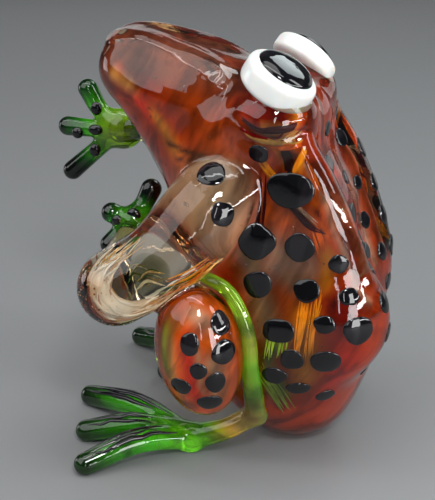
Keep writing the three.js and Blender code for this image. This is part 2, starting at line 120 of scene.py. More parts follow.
HAND_BLEND = 0.7

# Hind legs: an oval thigh, a strand that runs down behind it, and three toes
THIGH = {"at": (11, 2.5, 12.5), "half": (3.5, 3.9, 6.2), "lean": 9}
THIGH_BLEND = 0.4
SHANK = [(9.3, 2.2, 19), (9.8, 4.9, 17.8), (10, 6.6, 14.4), (9.8, 6.9, 10.4), (8.9, 7, 7.6), (7, 6.8, 4.6)]
SHANK_RADII = [0.55, 0.65, 0.7, 0.8, 0.9, 1]
FOOT_STRAND = [(7, 6.8, 4.6), (7.4, 4, 2.8), (7, 0.6, 1.2)]
FOOT_STRAND_RADII = [1, 1.05, 1.25]
TOE_RADII = [1.1, 1.1, 1.05]
TOE_TIP_HEIGHT = 0.95
TOE_ARCH = 2
TOE_TIP_DARK = 3.4
LEG_BLEND = 0.7
LEFT_TOE_TIPS = [(13.8, -7.6), (8, -9.6), (1.2, -11.6)]
RIGHT_TOE_TIPS = [(-13.2, -11), (-10, -7.2), (-6, -5.8)]

# Black lines on the toes, and black drops on the hands
TOE_STRIPE_OFFSETS = (-0.5, 0.1, 0.6)
TOE_STRIPE_SIZES = (0.16, 0.3)
TOE_STRIPE_STARTS = (2, 5)
TOE_STRIPE_WANDER = 0.06
TOE_STRIPE_SINK = 0.05
HAND_DROPS = [
    {"at": (-8.25, -15.6, 25.4), "half": (0.4, 0.6, 0.6)},
    {"at": (-8.1, -13.6, 25.9), "half": (0.4, 0.75, 0.55)},
    {"at": (-8.3, -13.8, 23.7), "half": (0.4, 0.6, 0.7)},
    {"at": (-8.5, -13.6, 28), "half": (0.4, 0.6, 0.7)},
    {"at": (1.25, -6.6, 20.8), "half": (0.4, 0.7, 0.7)},
    {"at": (1.3, -8.2, 20.2), "half": (0.4, 0.6, 0.5)},
]

# Eyes: a thick white disc with a domed black pupil
EYE_SQUARENESS = 4.6
PUPIL_SHARE = 0.8
PUPIL_HEIGHT = 0.6
PUPIL_SQUARENESS = 2.8
PUPIL_ROOT = 0.5
LEFT_EYE = {"at": (4.8, 7.9, 35.6), "axis": (0.08, 0.51, 0.85), "radius": 3.3, "half": 1.4}
RIGHT_EYE = {"at": (-4.9, 8.15, 35.3), "axis": (-0.58, 0.44, 0.68), "radius": 3.1, "half": 1}

# Black spots as (place, height, length, width). The place is Y on the flanks and thighs, and X on the back.
# Each has a few low lobes, and is laid on the skin along lines that start a little outside it.
OUTSIDE = 25
SPOT_RISE = 0.16
SPOT_ROOT = 0.25
SPOT_PLUMPNESS = 0.6
BACK_SPOT_SHARE = 0.88
LOBES = 3
LOBE_SIZES = (0.01, 0.04)
UPRIGHT = 0.05
RAY_START = 3
RAY_LENGTH = 7
FLANK_SPOTS = [
    (6.9, 30, 1.8, 1.9), (9.7, 27, 4.3, 3.1), (7, 22.2, 3.2, 3.3), (10.7, 21.9, 2.7, 2.7),
    (14.1, 20.6, 1.8, 1.7), (7.1, 18.2, 2.6, 2.5), (11.5, 18.1, 2.3, 2.2), (15.2, 17.8, 1.8, 1.6),
    (9.2, 14.3, 3, 2.3), (13.3, 15.4, 2, 1.6), (16.2, 14.8, 2.8, 2.6), (10.5, 11.7, 2.1, 2.1),
    (13.5, 11.7, 2.8, 2.4), (8.9, 9.8, 2.3, 1.7), (11, 8.5, 2.3, 1.3), (13.2, 7.2, 2, 1.4),
]
BACK_SPOTS = [
    (0.8, 30.6, 1.8, 1.6), (-3.8, 28.4, 1.6, 2), (-6, 27, 1.6, 2.2), (1.8, 27.6, 2.4, 2),
    (-0.9, 25.6, 1.8, 1.4), (-3.2, 24.4, 1.4, 1.6), (-5.6, 23.8, 1.6, 2), (0.8, 22.8, 2.2, 2.4),
    (-2.6, 21, 1.8, 1.9), (-5.2, 20.8, 1.6, 2.2), (-0.6, 18.8, 1.8, 1.8), (-3.2, 17.8, 1.7, 2),
    (-5.6, 17.6, 1.8, 2.3), (-3.8, 14.6, 1.8, 2), (5.2, 16.4, 2.2, 2.2), (4.6, 13.2, 1.8, 2.2),
    (3.2, 8.6, 1.8, 1.5), (4.6, 22, 1.6, 2), (3.4, 18.8, 1.7, 1.8), (-1.4, 10.6, 2.2, 1.8),
]
THIGH_SPOTS = [
    (2.6, 14.6, 1.7, 2.1), (3.4, 12.2, 1.6, 1.5), (5.4, 13.7, 2.4, 2.2), (4.8, 11, 1.8, 2.1),
    (1.7, 10.4, 2, 1.7), (4.2, 8.8, 2.3, 1.7), (4.9, 16.1, 2, 2.2),
]
ARM_SPOTS = [
    {"at": (8.9, 3, 28.4), "towards": (0.49, -0.2, 0.84), "size": (2.5, 2.5)},
    {"at": (10.5, 4.5, 25.3), "towards": (0.91, 0.29, 0.31), "size": (2, 2.2)},
]

# Coloured glass under the clear skin. Its depth grows at places that look clear.
CORE_DEPTH = 1.25
CLEAR_PLACES = [
    {"at": (8.3, 6.2, 16.5), "reach": 3.2, "deeper": 2.6},
    {"at": (8, 7, 11.5), "reach": 2, "deeper": 1.2},
    {"at": (0.5, 11.5, 31.5), "reach": 3.4, "deeper": 2.2},
    {"at": (6.6, 12, 28), "reach": 1.6, "deeper": 1},
    {"at": (6.6, 14.3, 23.5), "reach": 1.8, "deeper": 1},
    {"at": (6.4, 16.8, 18), "reach": 2, "deeper": 1},
    {"at": (3.5, -5.5, 30.5), "reach": 3, "deeper": 0.9},
    {"at": (1.5, -8, 36.5), "reach": 2.2, "deeper": 0.6},
    {"at": (7, 2.5, 26.5), "reach": 2.8, "deeper": 3},
    {"at": (0, 9, 1), "reach": 3.5, "deeper": 1},
]
THIGH_CORE = {"at": (11, 2.6, 12.4), "half": (2.3, 2.6, 5.1), "lean": 9}

# What lies inside a clear elbow, as (along the arm, across, outwards) from the end of its centre line
# The cream crescent is a painted glow of light coming through the elbow
CREAM_CURVE = [
    (-4, 2.1, 0.4), (-2.2, 2, 0.8), (-0.4, 1.7, 1), (0.8, 0.6, 1.2), (0.8, -0.9, 1.3), (-0.3, -1.9, 1.2),
    (-2.2, -2.2, 0.9), (-4.6, -2.1, 0.5),
]
MOSS_CURVE = [(-4.2, -0.9, 0.8), (-3.2, -0.2, 0.9), (-2.2, -0.4, 0.9)]
STRAW_CURVE = [(-4.6, -1.9, 1.2), (-6.6, -2.2, 1.3), (-8.6, -2, 1)]
FINE = (0.04, 0.12)
THICK = (0.45, 0.75)
THREAD_END = 0.25
WANDER = 0.3
LEAST_PLACES = 4
GRAINS = 200
GRAIN_SIZES = (0.04, 0.11)
GRAIN_SPREAD = 0.5
GRAIN_REACHES = (2.3, 3)

# Air bubbles in the clear skin, from lines that go in from each side and don't miss the trunk
BUBBLES = 110
BUBBLE_SIZES = (0.05, 0.15)
BUBBLE_DEPTHS = (0.45, 0.8)
BUBBLE_PLACES = (-7, 15)
BUBBLE_HEIGHTS = (8, 36)
MISSED = 0.05

# How wide the change is from the trunk's warm glass to the paler glass of the arms
TINT_FADE = 0.8

# Glass colours, linear. A stain is the colour that light takes on its way through clear glass.
BODY_AMBER = (0.5, 0.05, 0.002)
SMOKE = (0.17, 0.075, 0.045)
UMBER = (0.28, 0.02, 0.001)
HONEY = (0.66, 0.1, 0.001)
AMBER = (0.82, 0.15, 0.002)
FIRE_RED = (0.85, 0.03, 0.001)
RUMP_RED = (0.5, 0.012, 0.001)
MOUND_RED = (0.42, 0.004, 0.001)
BLOOD = (0.1, 0.001, 0.001)
ORANGE = (1, 0.2, 0.004)
# Painted light: bright orange and pale glows that stand for light coming through the glass
PAINTED_GLOW = (1, 0.42, 0.015)
PAINTED_PALE_GLOW = (1, 0.62, 0.16)
# Painted reflection: pinkish-grey veils of reflected light
PAINTED_VEIL = (0.62, 0.42, 0.33)
PAINTED_TAUPE_VEIL = (0.6, 0.5, 0.38)
TAN = (0.62, 0.44, 0.26)
MOSS = (0.3, 0.25, 0.12)
CREAM = (1, 0.97, 0.86)
STRAW = (0.8, 0.5, 0.16)
BRONZE = (0.36, 0.14, 0.045)
BROWN_BLACK = (0.03, 0.005, 0.004)
RUST = (0.25, 0.05, 0.012)
ROSE = (0.62, 0.33, 0.23)
CLEAR = (0.98, 0.94, 0.86)
WARM_CLEAR = (0.95, 0.72, 0.45)
TEA = (0.62, 0.3, 0.13)
OLIVE = (0.55, 0.55, 0.05)
DARK_OLIVE = (0.3, 0.33, 0.03)
LIME = (0.5, 0.85, 0.03)
DARK_LIME = (0.17, 0.42, 0.01)
GRASS = (0.22, 0.8, 0.02)
LEAF = (0.06, 0.45, 0.01)
FOREST = (0.008, 0.13, 0.006)
INK = (0.003, 0.005, 0.003)
WHITE = (0.66, 0.68, 0.66)
COOL_WHITE = (0.7, 0.74, 0.74)
BLACK = (0.003, 0.003, 0.004)
SOOT = (0.01, 0.008, 0.01)
SKIN_STAIN = (0.92, 0.66, 0.3)
GREEN_STAIN = (0.5, 0.9, 0.3)
MOSS_STAIN = (0.35, 0.4, 0.2)
RUST_STAIN = (0.7, 0.2, 0.05)

# Colours of a hand, as (share of the way from the palm to the longest finger's tip, colour)
HAND_COLOURS = [(0.05, DARK_OLIVE), (0.3, DARK_LIME), (0.5, LEAF), (0.68, FOREST), (0.86, INK)]

# Bands of filaments in the elbow, as (curve, number, sizes, spread, colours), its grains and its clouds
ELBOW_BANDS = [
    # The cream bands are a painted glow, and so are the glow-coloured threads along the straw curve
    (CREAM_CURVE[2:7], 5, THICK, 0.3, (CREAM,)),
    (CREAM_CURVE[1:8], 30, (0.08, 0.2), 0.45, (CREAM, CREAM, CREAM, PAINTED_VEIL, STRAW)),
    (CREAM_CURVE, 44, FINE, 0.4, (CREAM, CREAM, STRAW)),
    (MOSS_CURVE, 10, FINE, 0.5, (MOSS, CREAM, FOREST)),
    (STRAW_CURVE, 14, FINE, 0.35, (ORANGE, PAINTED_GLOW, STRAW)),
]
GRAIN_COLOURS = (BRONZE, BRONZE, STRAW, CREAM)
MOSS_CLOUD = {"at": (-3.2, -0.3, 0.5), "half": (2, 1.4, 1.5)}
RUST_CLOUD = {"at": (1.6, -0.3, 0.2), "half": (1.2, 2.1, 2)}

# Strokes of colour in the cores, the clear skin and the hind legs, as (from, to, reach, colour). Some are
# painted light:
# glows, a glint and veils of reflection, a sheen on the thigh, shade in the eye creases and beside the arm,
# and the green leg's reflection.
CORE_STROKES_AND_PAINTED_LIGHT = [
    ((1.5, -7, 37), (3, 2, 36), 3.4, SMOKE),
    ((4, -5.8, 35.8), (5, 0.2, 34.6), 1.8, SMOKE),
    ((4.6, -4.6, 34), (5.2, -1.4, 33), 1.7, UMBER),
    ((3.4, -8, 34.8), (4.4, -3.9, 30.6), 1, FIRE_RED),
    ((5.1, -2.4, 31.4), (5.3, -1.8, 30.7), 0.9, FIRE_RED),
    ((5.6, 0, 33), (7, 3.4, 30.8), 2.3, HONEY),
    # Painted glow: the throat's orange
    ((4.8, -2.7, 29.6), (6, -1, 26.8), 1.3, ORANGE),
    ((3, -8.2, 34.6), (4, -6.4, 33.8), 0.9, STRAW),
    # Painted glow
    ((4.6, -3.6, 31), (5.1, -2, 28.8), 0.9, PAINTED_GLOW),
    ((4.7, -2.6, 29), (6.6, 0.4, 29.1), 0.4, BROWN_BLACK),
    ((5.2, -2, 27.9), (6.6, 0.4, 28), 0.3, BLOOD),
    ((7.5, 5.8, 34.4), (7.4, 10.2, 33.5), 1.8, MOUND_RED),
    # Painted glow on the eye mound
    ((6.3, 10.7, 33.5), (6.3, 10.7, 33.2), 0.8, PAINTED_GLOW),
    # Painted shade in the crease under the eye
    ((8.2, 6.4, 32.4), (7.2, 10.3, 31.8), 0.45, BLOOD),
    # Painted glow under the crease, pale and then orange
    ((8.1, 7.6, 31.1), (6.9, 10.7, 31.1), 0.6, PAINTED_PALE_GLOW),
    ((8, 8.6, 30.8), (7, 11, 30.8), 0.4, ORANGE),
    ((7.8, 8.2, 30.1), (6.8, 11.4, 30.1), 0.55, BROWN_BLACK),
    # Painted glows below the eye
    ((7.9, 7.3, 29.8), (7.8, 8.9, 28.9), 0.5, PAINTED_GLOW),
    ((6.9, 11.6, 30.1), (7.5, 10.4, 28.8), 0.5, PAINTED_GLOW),
    ((7.5, 9.6, 29.5), (7.5, 9.6, 29.2), 0.6, BROWN_BLACK),
    # Painted glow
    ((7.3, 11.5, 28.6), (7.7, 12.4, 25.6), 0.7, ORANGE),
    ((8, 8.6, 24.8), (7.9, 10.6, 23.6), 2.2, AMBER),
    ((7.8, 12.4, 25), (7.9, 12.5, 24.7), 0.5, BLOOD),
    # Painted glint
    ((7.9, 12.9, 23.6), (7.8, 13.2, 23.2), 0.5, ORANGE),
    # Painted veil of reflected light on the flank
    ((8.1, 8.2, 21.4), (7.9, 10.4, 20), 1.5, PAINTED_VEIL),
    # Painted veil of reflected light on the core behind the arm, in rose and taupe
    ((7.6, 4.2, 27), (7, 2.4, 22), 2.2, ROSE),
    ((6.5, 2, 26), (6.5, -1.5, 21), 2.8, PAINTED_TAUPE_VEIL),
    ((7.4, 1.8, 27.4), (8, 0.4, 24), 0.9, CREAM),
    ((8, 5.4, 26), (8.2, 4, 22.6), 0.35, BROWN_BLACK),
    ((8.4, 6, 20.4), (8.8, 7.6, 14.6), 1.4, MOSS),
    # Painted glow
    ((7.8, 13, 20.8), (8, 12.8, 19), 0.9, PAINTED_GLOW),
    ((8.6, 9.8, 17.6), (8.8, 10.4, 16.2), 1, AMBER),
    # Painted glow on the rump
    ((9.1, 11.2, 15.8), (8.7, 11.8, 9), 1.3, PAINTED_GLOW),
    ((8.6, 15, 17), (7, 14.8, 7), 1.9, RUMP_RED),
    ((8.5, 14, 17.4), (8.7, 13.8, 15.2), 0.35, BLOOD),
    ((8.3, 6, 17), (8.7, 7.3, 13.6), 1.2, TAN),
    # Painted veil of reflected light
    ((7.9, 8.6, 19.3), (8.1, 10.4, 18.8), 1.1, PAINTED_VEIL),
    # Painted reflection of the green leg in the body
    ((9.2, 9, 13.2), (9.2, 8.7, 12.4), 0.8, LIME),
    ((9.1, 8.3, 11.6), (9.1, 7.8, 10.6), 0.95, FOREST),
    ((9, 8.4, 8.8), (8.8, 9.4, 7.2), 1.1, LEAF),
    ((9, 8, 8.2), (8.8, 8.8, 7), 0.5, LIME),
    # Painted glow
    ((9.3, 11, 13.8), (9.1, 12, 15.2), 0.7, PAINTED_GLOW),
    # Painted veil of reflected light along the back ridge
    ((6.7, 12.2, 29), (6.3, 15.4, 21.5), 0.8, PAINTED_VEIL),
    ((6.3, 15.4, 21.5), (6, 17.2, 17.4), 0.7, PAINTED_VEIL),
    ((1.6, 11.8, 31.6), (2.6, 14.4, 24), 0.8, ROSE),
    ((2.6, 14.4, 24), (2.4, 16.2, 17), 0.6, ROSE),
    ((0, 12.2, 30), (0.3, 16, 18), 0.9, RUMP_RED),
    ((4.4, 12.6, 28.6), (4.4, 16.4, 18.6), 0.9, RUST),
]
THIGH_CORE_STROKES_AND_PAINTED_SHEEN = [
    ((13.6, -0.4, 15), (13.6, 0.2, 9), 1.5, STRAW),
    ((12.9, -1, 15), (12.9, -0.6, 11), 0.7, LIME),
    ((13.8, 0.8, 15), (14, 1.4, 9), 0.5, ORANGE),
    ((14.3, 2.2, 14.6), (14.2, 2.8, 8.6), 1.2, FIRE_RED),
    ((14.3, 3, 15), (14.2, 3.6, 9.6), 0.35, TAN),
    # Painted sheen of reflected light at the top of the thigh
    ((13.4, 2.8, 17.2), (13.2, 4, 16.6), 1.1, PAINTED_VEIL),
    ((14, 4.4, 14.4), (13.6, 5.4, 13.8), 0.8, ORANGE),
    ((13.8, 4.8, 12.4), (13.2, 5.2, 9.2), 1, TAN),
    ((12.8, 5.6, 12), (12.6, 5.4, 8.4), 0.7, BRONZE),
]
SKIN_STROKES_AND_PAINTED_SHADE = [
    ((13.8, -7.2, 18.4), (13, -7.4, 16.6), 1.8, TEA),
    ((12.8, -0.9, 15.4), (12.8, -0.6, 10.4), 0.8, LIME),
    ((9.1, -7, 26), (9.2, -11.2, 26), 2.6, OLIVE),
    ((1.6, -6.8, 19.4), (3, -6.6, 19), 2.8, OLIVE),
    ((8, 9.6, 25.6), (7.9, 12.6, 23.5), 0.22, BLOOD),
    # Painted shade in the groove beside the arm
    ((7.9, 6.9, 27.2), (8, 6.3, 24), 0.28, BLOOD),
    # Painted shade in the crease under the eye
    ((8.3, 5.4, 32.6), (8.5, 7.6, 31.9), 0.3, BLOOD),
    ((8.5, 7.6, 31.9), (7.5, 10, 31.8), 0.3, BLOOD),
]
LEG_STROKES = [
    ((9.4, 3, 18.8), (9.9, 6, 16.4), 2.4, LIME),
    ((10, 6.8, 13.6), (10, 7, 12), 1.2, OLIVE),
    ((10, 7, 10.6), (9, 7, 7.4), 1.4, GRASS),
    ((10.4, 6.6, 10.2), (10, 6.6, 9), 0.9, LIME),
    ((8.9, 7, 7), (7.8, 6.6, 5), 1, OLIVE),
    ((7.6, 6.4, 4.8), (7.5, 5.4, 3.8), 1.6, STRAW),
    ((7.4, 4.4, 3), (7.4, 3.6, 2.6), 1.2, ORANGE),
    ((7, 1.4, 1.6), (7, 0, 1.4), 2.6, GRASS),
]

# Threads of glass under the skin, as (places on the skin, radius, number, spread, colour): painted shade in
# the crease under each eye and a painted glow below it, painted shade beside the arm, a dark line with a
# painted veil between the spots, threads of painted glow on the flank and rump, and the green leg's painted
# reflection
THREAD_DEPTH = 0.62
THREADS_OF_COLOUR_AND_PAINTED_LIGHT = [
    # Painted shade: the dark double line in the crease under the eye
    ([(7.7, 5.3, 32.7), (8.2, 6.9, 32), (8.1, 8, 31.8), (7.3, 9.8, 32), (7.2, 10.2, 32.5)],
     0.2, 3, 0.17, BLOOD),
    ([(7.8, 5.4, 32.4), (8.1, 6.4, 31.8), (8.1, 7.6, 31.5), (7.8, 8.8, 31.5), (7.3, 9.7, 31.8)],
     0.2, 2, 0.17, MOUND_RED),
    # Painted glow under the crease, pale and then orange
    ([(8, 5.6, 31.7), (8.2, 6.6, 31.2), (8.1, 7.8, 30.9), (7.8, 8.9, 31), (7, 10.2, 31.6)],
     0.22, 5, 0.17, PAINTED_PALE_GLOW),
    ([(7.9, 6.9, 30.9), (7.8, 8.4, 30.5), (7.5, 9.4, 30.5), (7.2, 10.6, 31)], 0.16, 5, 0.17, ORANGE),
    ([(8, 9.2, 26.2), (8, 10.7, 24.8), (8, 11.8, 23.8), (7.7, 13.2, 23.1)], 0.16, 2, 0.17, BLOOD),
    # Painted veil beside the dark line
    ([(7.9, 9.3, 26.6), (8, 10.8, 25.3), (7.9, 12.4, 24)], 0.12, 2, 0.17, PAINTED_VEIL),
    # Painted shade in the groove beside the arm
    ([(7.6, 6.9, 27.6), (8, 6.9, 25.2), (8.1, 6.9, 22.8)], 0.16, 3, 0.17, BLOOD),
    # Painted glows below the eye
    ([(7, 6.6, 29.6), (7.4, 7.7, 28.3), (7.7, 8.6, 27.4)], 0.16, 6, 0.17, PAINTED_GLOW),
    ([(7.3, 11, 30.6), (7.4, 10.4, 29.6), (7.6, 9.8, 28.4)], 0.16, 6, 0.17, PAINTED_GLOW),
    ([(7.4, 9, 30.3), (7.6, 9.3, 29.4), (7.5, 9.4, 28.4)], 0.2, 5, 0.17, BROWN_BLACK),
    # Painted glow on the flank and the rump
    ([(7.4, 11.2, 29.4), (7.6, 11.8, 28), (7.6, 12.3, 26.6)], 0.08, 8, 0.3, ORANGE),
    ([(7.9, 12, 23.8), (7.8, 12.4, 22.6), (7.8, 12.8, 21.4)], 0.08, 8, 0.35, ORANGE),
    ([(8.6, 11.8, 17.6), (9.3, 11.6, 14.8), (9, 11.2, 10.8)], 0.07, 22, 0.45, PAINTED_GLOW),
    # Painted reflection of the green leg in the body
    ([(9.1, 9.1, 14.6), (9.2, 8.9, 13), (9.2, 8.7, 11.4)], 0.07, 12, 0.4, LIME),
    ([(9, 7.6, 9.8), (8.8, 9, 7), (8, 9.8, 5)], 0.07, 16, 0.45, LIME),
]

# Camera and studio. A panel is a soft light that faces the frog, as (name, azimuth, elevation, distance,
# width, height, radiance), and its colour where it isn't white.
AIM = (0, 1.25, 17.6)
CAMERA_AZIMUTH = 15
CAMERA_ELEVATION = 22
CAMERA_DISTANCE = 124.8
FOCAL_PIXELS = 1320
PHOTO_LONG_SIDE = 500
SENSOR = 36
NEAREST = 10
FLOOR_SIZE = 2000
FLOOR_GREY = (0.18, 0.185, 0.19)
FLOOR_ROUGHNESS = 0.6
STUDIO_AIR = (0.06, 0.065, 0.07)
PANELS = [
    ("top_softbox", 20, 86, 190, 170, 150, 2.4),
    ("left_softbox", -52, 38, 190, 220, 150, 2.3),
    ("nose_panel", -98, 4, 190, 60, 70, 2.6),
    ("ridge_strip", 0, 78, 175, 230, 14, 8),
    ("back_panel", 150, 3, 230, 130, 70, 0.8),
    ("far_panel", -160, 10, 230, 220, 90, 0.6),
    ("key_light", 26, 42, 190, 30, 30, 56),
    ("pupil_window", 155, 40, 190, 92, 76, 4, (0.9, 1, 1)),
    ("ridge_light", 47, 6, 130, 34, 56, 11),
    ("side_window", 92, 30, 190, 45, 110, 7),
    ("low_strip", 78, 8, 180, 150, 9, 26),
    ("front_strip", 21, 15, 200, 10, 80, 9),
]

# Kinds of sockets on a shader node group
NUMBER = "NodeSocketFloat"
VECTOR = "NodeSocketVector"
COLOUR = "NodeSocketColor"


def other_side(lump):
    x, y, z = lump["at"]
    return {**lump, "at": (-x, y, z), "turn": -lump.get("turn", 0)}


def both_sides(lumps):
    found = []
    for lump in lumps:
        found.append(lump)
        if lump.get("pair"):
            found.append(other_side(lump))
    return found


def sided(path, sign):
    return [(sign * x, y, z) for x, y, z in path]


def smooth_path(path, radii, steps=6):
    """Points and radii along a smooth curve through the given ones."""
    rows = np.column_stack([np.array(path, float), np.array(radii, float)])
    padded = np.vstack([2 * rows[0] - rows[1], rows, 2 * rows[-1] - rows[-2]])
    found = []
    for a, b, c, d in zip(padded, padded[1:], padded[2:], padded[3:]):
        for k in range(steps):
            t = k / steps
            found.append(0.5 * (2 * b + (c - a) * t + (2 * a - 5 * b + 4 * c - d) * t**2
                                + (3 * b - 3 * c + d - a) * t**3))
    found.append(rows[-1])
    return [(row[:3], row[3]) for row in found]


def smooth_line(path):
    """Points along a smooth curve through the given ones."""
    return [place for place, _ in smooth_path(path, [0] * len(path))]


def lump_turn(lump):
    return Euler((math.radians(lump.get("lean", 0)), 0, math.radians(lump.get("turn", 0))))


def lump_reach(points, lump):
    """About how far each point lies outside an ellipsoid."""
    half = np.array(lump["half"], float)
    near = ((points - np.array(lump["at"], float)) @ np.array(lump_turn(lump).to_matrix())) / half
    scale = np.linalg.norm(near, axis=1)
    return scale * (scale - 1) / np.maximum(np.linalg.norm(near / half, axis=1), TINY)


def strand_reach(points, strand):
    """How far each point lies outside a round strand, up to a few millimetres."""
    places = np.array([place for place, _ in strand])
    room = FAR + max(radius for _, radius in strand)
    near = np.all((points > places.min(0) - room) & (points < places.max(0) + room), axis=1)
    close = points[near]
    nearest = np.full(len(close), FAR)
    for (start, first), (end, last) in zip(strand, strand[1:]):
        along = end - start
        share = np.clip((close - start) @ along / max(along @ along, TINY), 0, 1)
        gap = np.linalg.norm(close - start - share[:, None] * along, axis=1)
        nearest = np.minimum(nearest, gap - (first + share * (last - first)))
    found = np.full(len(points), FAR)
    found[near] = nearest
    return found


def reaches(points, lumps=(), strands=()):
    """How far each point lies outside each of the lumps and strands."""
    found = [lump_reach(points, lump) for lump in lumps]
    return found + [strand_reach(points, strand) for strand in strands]


def melt(values, blend):
    """The reach of several forms where they melt together."""
    total = values[0]
    for value in values[1:]:
        overlap = np.maximum(blend - np.abs(total - value), 0)
        total = np.minimum(total, value) - overlap**2 / (4 * blend)
    return total


def melted(lumps, strands, blend):
    """The reach of lumps and strands that are melted together, as a function of points."""
    return lambda points: melt(reaches(points, lumps, strands), blend)


def nearness(points, at, reach, end=None):
    """One at a place, or along the line to an end, and fading to nothing away from it."""
    start = np.array(at, float)
    along = np.array(at if end is None else end, float) - start
    share = np.clip((points - start) @ along / max(along @ along, TINY), 0, 1)
    away = np.linalg.norm(points - start - share[:, None] * along, axis=1)
    return np.exp(-(away / reach) ** 2)


def folded(points):
    """The points with the frog's right side laid over its left side."""
    return np.column_stack([np.abs(points[:, 0]), points[:, 1], points[:, 2]])


BACK_RIDGES = [smooth_path(sided(BACK_RIDGE, sign), BACK_RIDGE_RADII) for sign in (1, -1)]
SNOUT_RIDGES = [
    smooth_path(sided(path, sign), radii)
    for path, radii in ((SNOUT_RIDGE, SNOUT_RIDGE_RADII), (MOUTH_RIDGE, MOUTH_RIDGE_RADII))
    for sign in (1, -1)
]
CREASES = [smooth_path(sided(EYE_CREASE, sign), [0] * len(EYE_CREASE)) for sign in (1, -1)]
ARM_STRANDS = [
    smooth_path(arm[part], arm[f"{part}_radii"])
    for arm in (LEFT_ARM, RIGHT_ARM)
    for part in ("upper", "fore")
]
THIGHS = [THIGH, other_side(THIGH)]


def trunk_reach(points):
    trunk = melt(reaches(points, both_sides(TRUNK_LUMPS)), TRUNK_BLEND)
    trunk = melt([trunk, *reaches(points, both_sides(CREST_LUMPS))], CREST_BLEND)
    trunk = melt([trunk, *reaches(points, strands=SNOUT_RIDGES)], SNOUT_BLEND)
    trunk = melt([trunk, *reaches(points, strands=BACK_RIDGES)], RIDGE_BLEND)
    for crease in CREASES:
        trunk = trunk + CREASE_DEPTH * np.exp(-(strand_reach(points, crease) / CREASE_WIDTH) ** 2)
    return trunk


def body_reach(points):
    body = melt([trunk_reach(points), *reaches(points, strands=ARM_STRANDS)], ARM_BLEND)
    return melt([body, *reaches(points, THIGHS)], THIGH_BLEND)


def core_reach(points):
    """The skin's form drawn in by the depth of clear glass over the coloured core."""
    left = folded(points)
    deeper = sum(place["deeper"] * nearness(left, place["at"], place["reach"]) for place in CLEAR_PLACES)
    return trunk_reach(points) + CORE_DEPTH + deeper


def uphill(reach, points, step=0.02):
    """The reach at each point, and how fast it grows there along each axis."""
    here = reach(points)
    slope = np.empty_like(points)
    for axis in range(3):
        moved = points.copy()
        moved[:, axis] += step
        slope[:, axis] = (reach(moved) - here) / step
    return here, slope


def ways_out(reach, places):
    """The direction straight out of a form at each place."""
    slope = uphill(reach, places)[1]
    return slope / np.maximum(np.linalg.norm(slope, axis=1), TINY)[:, None]


def onto(reach, points, rounds, flattest, longest=math.inf):
    """Moves each point along the slope of a form's reach to where the reach is zero."""
    for _ in range(rounds):
        here, slope = uphill(reach, points)
        share = here / np.maximum((slope**2).sum(1), flattest)
        points = points - np.clip(share, -longest, longest)[:, None] * slope
    return points


def out_to(reach, points):
    """Where each point inside a form comes out on its surface."""
    return onto(reach, points, rounds=3, flattest=0.2)


def first_meetings(reach, starts, direction):
    """Where lines from outside first meet a form, and the ways out there."""
    places = np.array(starts, float)
    for _ in range(MEETING_STEPS):
        places = places + np.clip(reach(places) * MEETING_SHARE, 0, 1)[:, None] * np.array(direction, float)
    return [(Vector(place), Vector(out)) for place, out in zip(places, ways_out(reach, places))]


def clear_selection():
    if bpy.context.object and bpy.context.object.mode != "OBJECT":
        bpy.ops.object.mode_set(mode="OBJECT")
    bpy.ops.object.select_all(action="DESELECT")


def choose(*objects):
    clear_selection()
    for piece in objects:
        piece.select_set(True)
    bpy.context.view_layer.objects.active = objects[0]


def settle(piece):
    """Puts the piece's place, turn and size into its mesh."""
    choose(piece)
    bpy.ops.object.transform_apply(location=True, rotation=True, scale=True)
    return piece


def join_as(name, pieces):
    choose(*pieces)
    bpy.ops.object.join()
    whole = bpy.context.object
    whole.name = name
    bpy.ops.object.shade_smooth()
    return whole


def add_lump(lump):
    clear_selection()
    bpy.ops.mesh.primitive_ico_sphere_add(subdivisions=4, radius=MM)
    ball = bpy.context.object
    ball.location = Vector(lump["at"]) * MM
    ball.rotation_euler = lump_turn(lump)
    ball.scale = lump["half"]
    return settle(ball)


def add_grain(place, radius):
    clear_selection()
    bpy.ops.mesh.primitive_ico_sphere_add(subdivisions=1, radius=radius * MM, location=Vector(place) * MM)
    return settle(bpy.context.object)


def beads_along(strand, spread=0.5):
    """Round beads close enough along a strand to fuse into it."""
    beads = []
    last = None
    for place, radius in strand:
        if last is None or np.linalg.norm(place - last) > spread * radius:
            beads.append(add_lump({"at": tuple(place), "half": (radius, radius, radius)}))
            last = place
    return beads


def add_filament(name, places, radius):
    """A thread of glass drawn out to a point at both ends."""
    curve = bpy.data.curves.new(name, "CURVE")
    curve.dimensions = "3D"
    curve.bevel_depth = radius * MM
    curve.bevel_resolution = 1
    curve.use_fill_caps = True
    spline = curve.splines.new("POLY")
    spline.points.add(len(places) - 1)
    for k, (point, place) in enumerate(zip(spline.points, places)):
        point.co = (*(Vector(place) * MM), 1)
        point.radius = THREAD_END + (1 - THREAD_END) * math.sin(math.pi * k / (len(places) - 1))
    thread = bpy.data.objects.new(name, curve)
    bpy.context.scene.collection.objects.link(thread)
    choose(thread)
    bpy.ops.object.convert(target="MESH")
    return bpy.context.object


def points_of(piece):
    flat = np.empty(len(piece.data.vertices) * 3, np.float32)
    piece.data.vertices.foreach_get("co", flat)
    return flat.reshape(-1, 3).astype(float) / MM


def move_points(piece, points):
    """Moves the points of a piece, and lets it rest flat on the floor."""
    points[:, 2] = np.maximum(points[:, 2], 0)
    piece.data.vertices.foreach_set("co", (points * MM).astype(np.float32).ravel())
    piece.data.update()


def fuse(name, pieces, voxel):
    """Joins the pieces and remeshes them as one closed skin."""
    whole = join_as(name, pieces)
    remesh = whole.modifiers.new("fuse", "REMESH")
    remesh.mode = "VOXEL"
    remesh.voxel_size = voxel * MM
    bpy.ops.object.modifier_apply(modifier=remesh.name)
    return whole


